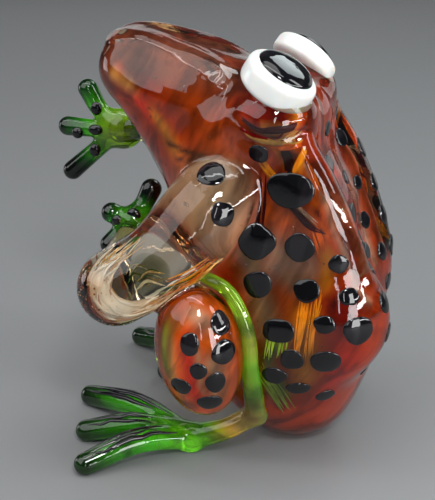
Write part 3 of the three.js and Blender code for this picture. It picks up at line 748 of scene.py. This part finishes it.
def relax(piece, rounds, factor=0.5):
    choose(piece)
    smooth = piece.modifiers.new("relax", "SMOOTH")
    smooth.factor = factor
    smooth.iterations = rounds
    bpy.ops.object.modifier_apply(modifier=smooth.name)
    move_points(piece, points_of(piece))
    bpy.ops.object.shade_smooth()


def grown(name, lumps, strands, reach, voxel, draws=4, smooths=3):
    """One closed skin over lumps and strands, drawn onto the form that they melt into."""
    pieces = [add_lump(lump) for lump in lumps]
    for strand in strands:
        pieces += beads_along(strand)
    whole = fuse(name, pieces, voxel)
    move_points(whole, onto(reach, points_of(whole), draws, flattest=0.05, longest=0.6))
    relax(whole, smooths)
    return whole


def tinted(points, base, strokes):
    """Lays each stroke of colour over the last, the same on both sides."""
    left = folded(points)
    colours = np.tile(np.array(base, float), (len(points), 1))
    for start, end, reach, colour in strokes:
        share = nearness(left, start, reach, end)[:, None]
        colours = colours * (1 - share) + np.array(colour) * share
    return colours


def set_tint(piece, colours):
    """Keeps the colour of each point, glass colour together with any painted light, as the attribute that
    the materials read.
    """
    layer = piece.data.color_attributes.new("tint", "FLOAT_COLOR", "POINT")
    rows = np.column_stack([colours, np.ones(len(colours))]).astype(np.float32)
    layer.data.foreach_set("color", rows.ravel())


def painted(piece, colour):
    set_tint(piece, np.tile(np.array(colour, float), (len(piece.data.vertices), 1)))
    return piece


def inside_share(reach):
    """One inside a form and nothing outside it, with a soft change at its surface."""
    return np.clip(0.5 - reach / TINT_FADE, 0, 1)[:, None]


def tint_body(body):
    """Warm clear glass in the trunk and thighs and paler glass in the arms, with strokes of colour and of
    painted shade.
    """
    points = points_of(body)
    trunk_share = inside_share(trunk_reach(points))
    base = trunk_share * np.array(WARM_CLEAR) + (1 - trunk_share) * np.array(CLEAR)
    thigh_share = np.maximum(*[inside_share(reach) for reach in reaches(points, THIGHS)])
    base = base + thigh_share * (np.array(WARM_CLEAR) - base)
    set_tint(body, tinted(points, (1, 1, 1), SKIN_STROKES_AND_PAINTED_SHADE) * base)


def make_body():
    lumps = both_sides(TRUNK_LUMPS) + both_sides(CREST_LUMPS) + THIGHS
    body = grown("body", lumps, ARM_STRANDS, body_reach, voxel=0.26, smooths=2)
    tint_body(body)
    return body


def make_trunk_core():
    core = grown("trunk_core", both_sides(TRUNK_LUMPS), [], core_reach, voxel=0.45, draws=6, smooths=4)
    set_tint(core, tinted(out_to(trunk_reach, points_of(core)), BODY_AMBER, CORE_STROKES_AND_PAINTED_LIGHT))
    return core


def make_thigh_core(side, sign):
    core = add_lump(THIGH_CORE if sign > 0 else other_side(THIGH_CORE))
    core.name = f"{side}_thigh_core"
    bpy.ops.object.shade_smooth()
    places = out_to(melted([THIGH], [], THIGH_BLEND), folded(points_of(core)))
    set_tint(core, tinted(places, AMBER, THIGH_CORE_STROKES_AND_PAINTED_SHEEN))
    return core


def elbow_frame(arm):
    """The end of the upper arm's centre line, and the ways along, across and outwards there."""
    before, end = Vector(arm["upper"][-2]), Vector(arm["upper"][-1])
    along = (end - before).normalized()
    side = Vector((math.copysign(1, end.x), 0, 0))
    outwards = (side - along * side.dot(along)).normalized()
    across = along.cross(outwards) * math.copysign(1, end.x)
    return end, along, across, outwards


def elbow_place(arm, offset):
    end, along, across, outwards = elbow_frame(arm)
    return end + along * offset[0] + across * offset[1] + outwards * offset[2]


def swayed_path(path, spread, dice):
    """The path moved aside as a whole, and a little more at each of its points."""
    shift = [dice.gauss(0, spread) for _ in range(3)]
    return [
        tuple(value + aside + dice.gauss(0, WANDER * spread) for value, aside in zip(place, shift))
        for place in path
    ]


def add_elbow_thread(arm, curve, sizes, spread, colours, dice):
    """A stretch of a swayed curve, as a thread of one of the colours."""
    swayed = swayed_path(curve, spread, dice)
    spare = max(1, len(curve) - LEAST_PLACES)
    first = dice.randrange(spare)
    last = len(curve) - dice.randrange(spare)
    route = smooth_line([tuple(elbow_place(arm, offset)) for offset in swayed[first:last]])
    return painted(add_filament("thread", route, dice.uniform(*sizes)), dice.choice(colours))


def add_elbow_grain(arm, dice):
    """A grain of colour near the skin, most likely at the elbow's tip."""
    bearing = dice.uniform(0, 2 * math.pi)
    forwards = 1 - abs(dice.gauss(0, GRAIN_SPREAD))
    ring = math.sqrt(1 - forwards**2) if forwards > 0 else 1
    reach = dice.uniform(*GRAIN_REACHES)
    offset = (forwards * reach, ring * reach * math.cos(bearing), ring * reach * math.sin(bearing))
    grain = add_grain(elbow_place(arm, offset), dice.uniform(*GRAIN_SIZES))
    return painted(grain, dice.choice(GRAIN_COLOURS))


def make_elbow_wisps(side, arm):
    """Bands of fine filaments inside a clear elbow, the cream ones a painted glow, with grains of bronze
    and cream glass round its tip.
    """
    dice = random.Random(5)
    pieces = []
    for curve, count, sizes, spread, colours in ELBOW_BANDS:
        pieces += [add_elbow_thread(arm, curve, sizes, spread, colours, dice) for _ in range(count)]
    pieces += [add_elbow_grain(arm, dice) for _ in range(GRAINS)]
    return join_as(f"{side}_elbow_wisps", pieces)


def make_elbow_cloud(name, arm, cloud):
    """A rounded cloud of stained glass inside a clear elbow."""
    _, along, _, outwards = elbow_frame(arm)
    ball = add_lump({"at": (0, 0, 0), "half": cloud["half"]})
    ball.name = name
    axes = np.array([along, outwards.cross(along), outwards])
    move_points(ball, np.array(elbow_place(arm, cloud["at"])) + points_of(ball) @ axes)
    bpy.ops.object.shade_smooth()
    return ball


def hand_colours(points, arm):
    """Olive at the wrist, then leaf green, with ink-black tips."""
    palm = np.array(arm["palm"]["at"])
    longest = max(np.linalg.norm(np.array(path[-1]) - palm) for path in arm["fingers"])
    share = np.linalg.norm(points - palm, axis=1) / longest
    places, colours = zip(*HAND_COLOURS)
    return np.column_stack([np.interp(share, places, band) for band in np.array(colours).T])


def make_hand(side, arm):
    fingers = [smooth_path([arm["palm"]["at"], *path], FINGER_RADII) for path in arm["fingers"]]
    reach = melted([arm["palm"]], fingers, HAND_BLEND)
    hand = grown(f"{side}_hand_glass", [arm["palm"]], fingers, reach, voxel=0.12)
    set_tint(hand, hand_colours(points_of(hand), arm))
    return hand


def toe_path(root, tip):
    middle = ((root[0] + tip[0]) / 2, (root[1] + tip[1]) / 2, TOE_ARCH)
    return [root, middle, (*tip, TOE_TIP_HEIGHT)]


def leg_colours(points, toe_tips):
    """Lime at the knee, leaf green down the shank, orange at the heel and inky toe tips."""
    colours = tinted(points, LEAF, LEG_STROKES)
    for x, y in toe_tips:
        share = nearness(points, (x, y, TOE_TIP_HEIGHT), TOE_TIP_DARK)[:, None]
        colours = colours * (1 - share) + np.array(INK) * share
    return colours


def make_leg(side, sign, toe_tips):
    foot = sided(FOOT_STRAND, sign)
    strands = [
        smooth_path(sided(SHANK, sign), SHANK_RADII),
        smooth_path(foot, FOOT_STRAND_RADII),
        *[smooth_path(toe_path(foot[-1], tip), TOE_RADII) for tip in toe_tips],
    ]
    leg = grown(f"{side}_leg_glass", [], strands, melted([], strands, LEG_BLEND), voxel=0.15)
    set_tint(leg, leg_colours(points_of(leg), toe_tips))
    return leg


def make_toe_stripes(side, sign, toe_tips):
    """Black lines of glass laid along the tops of the toes, half sunk in them."""
    dice = random.Random(31)
    root = sided(FOOT_STRAND, sign)[-1]
    stripes = []
    for tip in toe_tips:
        toe = smooth_path(toe_path(root, tip), TOE_RADII)
        aside = Vector((root[1] - tip[1], tip[0] - root[0], 0)).normalized()
        for offset in TOE_STRIPE_OFFSETS:
            places = []
            for centre, radius in toe[dice.randrange(*TOE_STRIPE_STARTS):]:
                shift = offset + dice.gauss(0, TOE_STRIPE_WANDER)
                rise = math.sqrt(radius**2 - shift**2) - TOE_STRIPE_SINK
                places.append(Vector(centre) + aside * shift + Vector((0, 0, rise)))
            stripes.append(add_filament("stripe", places, dice.uniform(*TOE_STRIPE_SIZES)))
    return join_as(f"{side}_toe_stripes", stripes)


def surface_of(piece):
    mesh = piece.data
    return BVHTree.FromPolygons([v.co for v in mesh.vertices], [p.vertices for p in mesh.polygons])


def add_spot(skin, place, out, length, width, dice):
    """A low drop of black glass that follows the skin, its root just under it."""
    clear_selection()
    bpy.ops.mesh.primitive_uv_sphere_add(segments=40, ring_count=16, radius=1)
    spot = bpy.context.object
    along = Vector((0, 0, 1)).cross(out)
    along = along.normalized() if along.length > UPRIGHT else Vector((1, 0, 0))
    up = out.cross(along).normalized()
    lobes = [(dice.uniform(*LOBE_SIZES), dice.uniform(0, 2 * math.pi)) for _ in range(LOBES)]
    for vertex in spot.data.vertices:
        x, y, z = vertex.co
        angle = math.atan2(y, x)
        round_off = 1 + sum(size * math.cos((k + 2) * angle + turn) for k, (size, turn) in enumerate(lobes))
        across = x * round_off * length / 2
        above = y * round_off * width / 2
        over = place + along * across + up * above
        hit, normal, _, _ = skin.ray_cast((over + out * RAY_START) * MM, -out, RAY_LENGTH * MM)
        if hit is None:
            hit, normal, _, _ = skin.find_nearest(over * MM)
        rise = SPOT_RISE if z > 0 else SPOT_ROOT
        plump = math.copysign(abs(z) ** SPOT_PLUMPNESS, z)
        vertex.co = hit + normal * (plump * rise * MM)
    return settle(spot)


def spot_row(skin, reach, rows, starts, direction, dice, share=1):
    """A black spot for each row, where the line from its start first meets the form."""
    meetings = first_meetings(reach, starts, direction)
    return [
        add_spot(skin, place, out, length * share, width * share, dice)
        for (place, out), (_, _, length, width) in zip(meetings, rows)
    ]


def make_spots(body):
    skin = surface_of(body)
    dice = random.Random(11)
    spots = []
    for sign, thigh in zip((1, -1), THIGHS):
        for reach, rows in ((trunk_reach, FLANK_SPOTS), (melted([thigh], [], THIGH_BLEND), THIGH_SPOTS)):
            starts = [(OUTSIDE * sign, y, z) for y, z, _, _ in rows]
            spots += spot_row(skin, reach, rows, starts, (-sign, 0, 0), dice)
        for spot in ARM_SPOTS:
            place, out = (Vector(row) for row in sided([spot["at"], spot["towards"]], sign))
            spots.append(add_spot(skin, place, out.normalized(), *spot["size"], dice))
    starts = [(x, OUTSIDE, z) for x, z, _, _ in BACK_SPOTS]
    spots += spot_row(skin, trunk_reach, BACK_SPOTS, starts, (0, -1, 0), dice, BACK_SPOT_SHARE)
    return join_as("black_spots", spots)


def make_drops():
    """Round black drops half sunk in the hands."""
    return join_as("black_drops", [add_lump(drop) for drop in HAND_DROPS])


def make_bubbles():
    """Small bubbles of air caught just under the clear skin."""
    dice = random.Random(23)
    bubbles = []
    for sign in (1, -1):
        starts = [
            (OUTSIDE * sign, dice.uniform(*BUBBLE_PLACES), dice.uniform(*BUBBLE_HEIGHTS))
            for _ in range(BUBBLES)
        ]
        for place, out in first_meetings(trunk_reach, starts, (-sign, 0, 0)):
            if trunk_reach(np.array([place]))[0] < MISSED:
                depth = dice.uniform(*BUBBLE_DEPTHS)
                bubbles.append(add_grain(place - out * depth, dice.uniform(*BUBBLE_SIZES)))
    return join_as("air_bubbles", bubbles)


def make_threads_of_colour_and_painted_light():
    """Threads drawn just under the clear skin, the same on both sides: darker and brighter glass, painted
    shade in the eye creases and beside the arms, painted glow, and a painted reflection of the green legs.
    """
    dice = random.Random(41)
    threads = []
    for path, radius, count, spread, colour in THREADS_OF_COLOUR_AND_PAINTED_LIGHT:
        for _ in range(count):
            places = out_to(trunk_reach, np.array(smooth_line(swayed_path(path, spread, dice))))
            places -= THREAD_DEPTH * ways_out(trunk_reach, places)
            for sign in (1, -1):
                thread = add_filament("thread", places * np.array([sign, 1, 1]), radius)
                threads.append(painted(thread, colour))
    return join_as("threads_of_colour_and_painted_light", threads)


def stand_on(piece, eye, lift):
    """Turns a piece made on +Z to an eye's axis and sets it at the eye's place."""
    axis = Vector(eye["axis"]).normalized()
    turn = Vector((0, 0, 1)).rotation_difference(axis).to_matrix().to_4x4()
    piece.data.transform(Matrix.Translation((Vector(eye["at"]) + axis * lift) * MM) @ turn)
    piece.data.update()


def flatten_bead(piece, radius, half, squareness):
    """Presses a ball of radius 1 into a disc with a rounded rim."""
    for vertex in piece.data.vertices:
        x, y, z = vertex.co
        angle = math.atan2(z, math.hypot(x, y))
        wide = radius * abs(math.cos(angle)) ** (2 / squareness)
        high = half * math.copysign(abs(math.sin(angle)) ** (2 / squareness), math.sin(angle))
        turn = math.atan2(y, x)
        vertex.co = (wide * math.cos(turn) * MM, wide * math.sin(turn) * MM, high * MM)


def make_bead(name, eye, radius, half, squareness, lift=0):
    clear_selection()
    bpy.ops.mesh.primitive_uv_sphere_add(segments=72, ring_count=48, radius=1)
    bead = bpy.context.object
    bead.name = name
    flatten_bead(bead, radius, half, squareness)
    stand_on(bead, eye, lift)
    bpy.ops.object.shade_smooth()
    return bead


def make_eye_disc(side, eye):
    return make_bead(f"{side}_eye_disc", eye, eye["radius"], eye["half"], EYE_SQUARENESS)


def make_pupil(side, eye):
    radius = eye["radius"] * PUPIL_SHARE
    lift = eye["half"] - PUPIL_ROOT
    return make_bead(f"{side}_pupil_dome", eye, radius, PUPIL_HEIGHT + PUPIL_ROOT, PUPIL_SQUARENESS, lift)


def set_sockets(node, values):
    for label, value in values.items():
        node.inputs[label].default_value = value


def add_node(tree, kind, at, sockets=None, **settings):
    """A node with its settings, and then the values of its input sockets."""
    node = tree.nodes.new(kind)
    node.location = at
    for key, value in settings.items():
        setattr(node, key, value)
    set_sockets(node, sockets or {})
    return node


def add_range(tree, at, low, high, **settings):
    return add_node(tree, "ShaderNodeMapRange", at, {"From Min": low, "From Max": high}, **settings)


def link(tree, *rows):
    """Links nodes, each row as (from node, its output, to node, its input)."""
    for source, leaving, target, entering in rows:
        tree.links.new(source.outputs[leaving], target.inputs[entering])


def new_group(name, inputs, output):
    """A shader node group with named inputs, each given as (name, kind, value), and one output."""
    group = bpy.data.node_groups.new(name, "ShaderNodeTree")
    for label, kind, value in inputs:
        socket = group.interface.new_socket(label, in_out="INPUT", socket_type=kind)
        socket.default_value = value
    label, kind = output
    group.interface.new_socket(label, in_out="OUTPUT", socket_type=kind)
    entry = add_node(group, "NodeGroupInput", (-600, 0))
    leave = add_node(group, "NodeGroupOutput", (600, 0))
    return group, entry, leave


def ripple_group():
    """Slow waves left by the flame, as a height."""
    inputs = [("Wave size", NUMBER, 300.0), ("Stretch", VECTOR, (1, 1, 1))]
    group, entry, leave = new_group("glass_ripple", inputs, ("Height", NUMBER))
    place = add_node(group, "ShaderNodeTexCoord", (-900, -200))
    mapping = add_node(group, "ShaderNodeMapping", (-400, -200))
    waves = add_node(group, "ShaderNodeTexNoise", (-100, -200), {"Detail": 3, "Roughness": 0.5})
    link(
        group,
        (place, "Object", mapping, "Vector"),
        (entry, "Stretch", mapping, "Scale"),
        (mapping, "Vector", waves, "Vector"),
        (entry, "Wave size", waves, "Scale"),
        (waves, "Fac", leave, "Height"),
    )
    return group


def streak_group():
    """Clouds of stronger and weaker colour, with threads of another glass drawn through them."""
    inputs = [
        ("Base", COLOUR, (1, 1, 1, 1)),
        ("Bright", NUMBER, 1.5),
        ("Dim", NUMBER, 0.5),
        ("Thread", COLOUR, (1, 0.4, 0.1, 1)),
        ("Amount", NUMBER, 0.5),
        ("Thread size", NUMBER, 400.0),
        ("Lie", VECTOR, (0.3, 0, 0)),
        ("Stretch", VECTOR, (1, 1, 0.15)),
    ]
    group, entry, leave = new_group("glass_streaks", inputs, ("Color", COLOUR))
    place = add_node(group, "ShaderNodeTexCoord", (-1100, -200))
    turned = add_node(group, "ShaderNodeMapping", (-900, -200))
    drawn = add_node(group, "ShaderNodeMapping", (-700, -200))
    threads = add_node(group, "ShaderNodeTexNoise", (-400, -200), {"Detail": 3, "Distortion": 0.6})
    sharpen = add_range(group, (-200, -200), 0.48, 0.66, interpolation_type="SMOOTHSTEP")
    share = add_node(group, "ShaderNodeMath", (0, -200), operation="MULTIPLY")
    wider = add_node(group, "ShaderNodeMath", (-600, 200), {1: 0.4}, operation="MULTIPLY")
    clouds = add_node(group, "ShaderNodeTexNoise", (-400, 200), {"Detail": 2, "Distortion": 0.8})
    swing = add_range(group, (-200, 200), 0.36, 0.64, interpolation_type="SMOOTHSTEP")
    clouded = add_node(group, "ShaderNodeVectorMath", (0, 200), operation="SCALE")
    blend = add_node(group, "ShaderNodeMix", (300, 0), data_type="RGBA")
    link(
        group,
        (place, "Object", turned, "Vector"),
        (entry, "Lie", turned, "Rotation"),
        (turned, "Vector", drawn, "Vector"),
        (entry, "Stretch", drawn, "Scale"),
        (drawn, "Vector", threads, "Vector"),
        (entry, "Thread size", threads, "Scale"),
        (threads, "Fac", sharpen, "Value"),
        (sharpen, "Result", share, 0),
        (entry, "Amount", share, 1),
        (entry, "Thread size", wider, 0),
        (drawn, "Vector", clouds, "Vector"),
        (wider, "Value", clouds, "Scale"),
        (clouds, "Fac", swing, "Value"),
        (entry, "Dim", swing, "To Min"),
        (entry, "Bright", swing, "To Max"),
        (entry, "Base", clouded, 0),
        (swing, "Result", clouded, "Scale"),
        (share, "Value", blend, "Factor"),
        (clouded, "Vector", blend, "A"),
        (entry, "Thread", blend, "B"),
        (blend, "Result", leave, "Color"),
    )
    return group


def smudge_group():
    """Faint patches where handling has dulled the gloss, as a roughness."""
    inputs = [("Clean", NUMBER, 0.02), ("Dull", NUMBER, 0.12), ("Patch size", NUMBER, 180.0)]
    group, entry, leave = new_group("glass_smudges", inputs, ("Roughness", NUMBER))
    place = add_node(group, "ShaderNodeTexCoord", (-600, -200))
    patches = add_node(group, "ShaderNodeTexNoise", (-300, -200), {"Detail": 4})
    spread = add_range(group, (0, -200), 0.5, 0.75)
    link(
        group,
        (place, "Object", patches, "Vector"),
        (entry, "Patch size", patches, "Scale"),
        (patches, "Fac", spread, "Value"),
        (entry, "Clean", spread, "To Min"),
        (entry, "Dull", spread, "To Max"),
        (spread, "Result", leave, "Roughness"),
    )
    return group


RIPPLE = ripple_group()
STREAKS = streak_group()
SMUDGES = smudge_group()


def start_material(name, ripple_size, ripple_depth, clean=0.015, dull=0.08, ior=1.5, clear=0):
    """A material with a gently rippled, slightly handled gloss, as clear as the given share."""
    material = bpy.data.materials.new(name)
    material.use_nodes = True
    tree = material.node_tree
    tree.nodes.clear()
    glass = {"IOR": ior, "Transmission Weight": clear}
    shader = add_node(tree, "ShaderNodeBsdfPrincipled", (200, 0), glass)
    output = add_node(tree, "ShaderNodeOutputMaterial", (600, 0))
    ripple = add_node(tree, "ShaderNodeGroup", (-400, -400), {"Wave size": ripple_size}, node_tree=RIPPLE)
    bump = add_node(tree, "ShaderNodeBump", (-100, -400), {"Strength": 1, "Distance": ripple_depth * MM})
    marks = {"Clean": clean, "Dull": dull}
    gloss = add_node(tree, "ShaderNodeGroup", (-100, -150), marks, node_tree=SMUDGES)
    link(
        tree,
        (shader, "BSDF", output, "Surface"),
        (ripple, "Height", bump, "Height"),
        (bump, "Normal", shader, "Normal"),
        (gloss, "Roughness", shader, "Roughness"),
    )
    return material


def shader_of(material):
    return material.node_tree.nodes["Principled BSDF"]


def add_streaks(material, thread, amount, size, dim, bright, lie=(0.3, 0, 0), stretch=(1, 1, 0.15)):
    """Threads of another glass drawn through clouds of the glass's own colour."""
    drawing = {
        "Thread": (*thread, 1), "Amount": amount, "Thread size": size, "Dim": dim, "Bright": bright,
        "Lie": lie, "Stretch": stretch,
    }
    tree = material.node_tree
    streaks = add_node(tree, "ShaderNodeGroup", (-300, 200), drawing, node_tree=STREAKS)
    link(tree, (streaks, "Color", shader_of(material), "Base Color"))
    return streaks


def colour_from_tint(material, **streaks):
    """The piece's own tint, with streaks."""
    tree = material.node_tree
    tint = add_node(tree, "ShaderNodeAttribute", (-700, 200), attribute_name="tint")
    link(tree, (tint, "Color", add_streaks(material, **streaks), "Base"))


def colour_from(material, colour, **streaks):
    """One colour, with streaks."""
    add_streaks(material, **streaks).inputs["Base"].default_value = (*colour, 1)


def absorb(material, colour, density):
    tree = material.node_tree
    stain = {"Color": (*colour, 1), "Density": density}
    volume = add_node(tree, "ShaderNodeVolumeAbsorption", (200, -500), stain)
    link(tree, (volume, "Volume", tree.nodes["Material Output"], "Volume"))


def skin_glass():
    material = start_material("skin_glass", ripple_size=260, ripple_depth=0.14, clear=1)
    colour_from_tint(
        material, thread=WARM_CLEAR, amount=0.3, size=420, lie=(0.5, 0, 0.4), stretch=(1, 1, 0.2),
        dim=0.92, bright=1,
    )
    absorb(material, SKIN_STAIN, density=70)
    return material


def sunken_glass(name, clear, **streaks):
    """Coloured glass under the clear skin, which hardly shows a surface of its own. Its tint holds painted
    light as well.
    """
    material = start_material(
        name, ripple_size=300, ripple_depth=0.05, clean=0.1, dull=0.2, ior=1.06, clear=clear,
    )
    colour_from_tint(material, **streaks)
    return material


def core_glass():
    return sunken_glass(
        "core_glass", clear=0.3, thread=BROWN_BLACK, amount=0.34, size=800,
        lie=(0.45, 0.1, 0), stretch=(1, 1, 0.16), dim=0.55, bright=1.5,
    )


def opal_glass():
    return sunken_glass(
        "opal_glass", clear=0.2, thread=STRAW, amount=0.3, size=620,
        lie=(0.9, 0, 0), stretch=(1, 1, 0.2), dim=0.85, bright=1.3,
    )


def cloud_glass(name, stain, density):
    """Stained glass melted into the clear, with no surface of its own to see."""
    material = start_material(name, ripple_size=300, ripple_depth=0.01, ior=1.001, clear=1)
    set_sockets(shader_of(material), {"Base Color": (1, 1, 1, 1)})
    absorb(material, stain, density)
    return material


def green_glass():
    material = start_material("green_glass", ripple_size=500, ripple_depth=0.05, clear=0.7)
    colour_from_tint(
        material, thread=INK, amount=0.6, size=520, lie=(0, 0, 0.3), stretch=(1, 0.3, 1),
        dim=0.7, bright=1.5,
    )
    absorb(material, GREEN_STAIN, density=30)
    return material


def caught_air():
    """The inside of a bubble, where glass meets air."""
    material = start_material("caught_air", ripple_size=900, ripple_depth=0.005, ior=0.667, clear=1)
    set_sockets(shader_of(material), {"Base Color": (1, 1, 1, 1)})
    return material


def white_glass():
    material = start_material("white_glass", ripple_size=380, ripple_depth=0.04, clean=0.06, dull=0.16)
    set_sockets(shader_of(material), {"Subsurface Weight": 0.4, "Subsurface Scale": 1 * MM})
    colour_from(material, WHITE, thread=COOL_WHITE, amount=0.4, size=500, dim=0.94, bright=1)
    return material


def black_glass():
    material = start_material("black_glass", ripple_size=420, ripple_depth=0.05, dull=0.06)
    colour_from(material, BLACK, thread=SOOT, amount=0.8, size=700, dim=0.6, bright=1)
    return material


def dress(piece, material, slot, *nodes):
    piece.data.materials.clear()
    piece.data.materials.append(material)
    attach(piece, "root")
    if nodes:
        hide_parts(*nodes)


def make_floor():
    clear_selection()
    bpy.ops.mesh.primitive_plane_add(size=FLOOR_SIZE * MM)
    floor = bpy.context.object
    floor.name = "studio_floor"
    material = bpy.data.materials.new("floor_grey")
    material.use_nodes = True
    set_sockets(shader_of(material), {"Base Color": (*FLOOR_GREY, 1), "Roughness": FLOOR_ROUGHNESS})
    floor.data.materials.append(material)


def direction(azimuth, elevation):
    azimuth, elevation = math.radians(azimuth), math.radians(elevation)
    return Vector((
        math.cos(elevation) * math.cos(azimuth),
        math.cos(elevation) * math.sin(azimuth),
        math.sin(elevation),
    ))


def add_panel(name, azimuth, elevation, distance, width, height, radiance, colour=(1, 1, 1)):
    """A soft rectangular light that faces the frog."""
    data = bpy.data.lights.new(name, "AREA")
    data.shape = "RECTANGLE"
    data.size = width * MM
    data.size_y = height * MM
    data.energy = radiance * math.pi * data.size * data.size_y
    data.color = colour
    lamp = bpy.data.objects.new(name, data)
    bpy.context.scene.collection.objects.link(lamp)
    towards = direction(azimuth, elevation)
    lamp.location = (Vector(AIM) + towards * distance) * MM
    lamp.rotation_euler = towards.to_track_quat("Z", "Y").to_euler()
    lamp.visible_camera = False


def add_world():
    world = bpy.data.worlds.new("studio_air")
    world.use_nodes = True
    set_sockets(world.node_tree.nodes["Background"], {"Color": (*STUDIO_AIR, 1), "Strength": 1})
    bpy.context.scene.world = world


def add_camera():
    towards = direction(CAMERA_AZIMUTH, CAMERA_ELEVATION)
    data = bpy.data.cameras.new("photo_camera")
    data.sensor_width = SENSOR
    data.lens = FOCAL_PIXELS / PHOTO_LONG_SIDE * SENSOR
    data.clip_start = NEAREST * MM
    camera = bpy.data.objects.new("photo_camera", data)
    bpy.context.scene.collection.objects.link(camera)
    camera.location = (Vector(AIM) + towards * CAMERA_DISTANCE) * MM
    camera.rotation_euler = (-towards).to_track_quat("-Z", "Y").to_euler()
    bpy.context.scene.camera = camera


skin = skin_glass()
core = core_glass()
opal = opal_glass()
green = green_glass()
air = caught_air()
white = white_glass()
black = black_glass()
moss = cloud_glass("moss_glass", MOSS_STAIN, density=700)
rust = cloud_glass("rust_glass", RUST_STAIN, density=1500)

SIDES = [
    ("left", 1, LEFT_ARM, LEFT_TOE_TIPS, LEFT_EYE),
    ("right", -1, RIGHT_ARM, RIGHT_TOE_TIPS, RIGHT_EYE),
]
body = make_body()
dress(
    body, skin, "amber_glass", "torso", "head", "left_upper_arm", "left_forearm",
    "right_upper_arm", "right_forearm", "left_thigh", "right_thigh",
)
dress(make_trunk_core(), core, "amber_glass")
for side, sign, *_ in SIDES:
    dress(make_thigh_core(side, sign), core, "amber_glass")
dress(make_spots(body), black, "black_glass")
dress(make_drops(), black, "black_glass")
dress(make_bubbles(), air, "amber_glass")
dress(make_threads_of_colour_and_painted_light(), core, "amber_glass")
for side, sign, arm, toe_tips, eye in SIDES:
    dress(make_elbow_wisps(side, arm), opal, "clear_glass")
    dress(make_elbow_cloud(f"{side}_moss_cloud", arm, MOSS_CLOUD), moss, "clear_glass")
    dress(make_elbow_cloud(f"{side}_rust_cloud", arm, RUST_CLOUD), rust, "clear_glass")
    dress(make_hand(side, arm), green, "green_glass", f"{side}_hand")
    dress(make_leg(side, sign, toe_tips), green, "green_glass", f"{side}_shank", f"{side}_foot")
    dress(make_toe_stripes(side, sign, toe_tips), black, "black_glass")
    dress(make_eye_disc(side, eye), white, "white_glass", f"{side}_eye")
    dress(make_pupil(side, eye), black, "black_glass", f"{side}_pupil")

make_floor()
for panel in PANELS:
    add_panel(*panel)
add_world()
add_camera()
bpy.context.scene.view_settings.view_transform = "Standard"
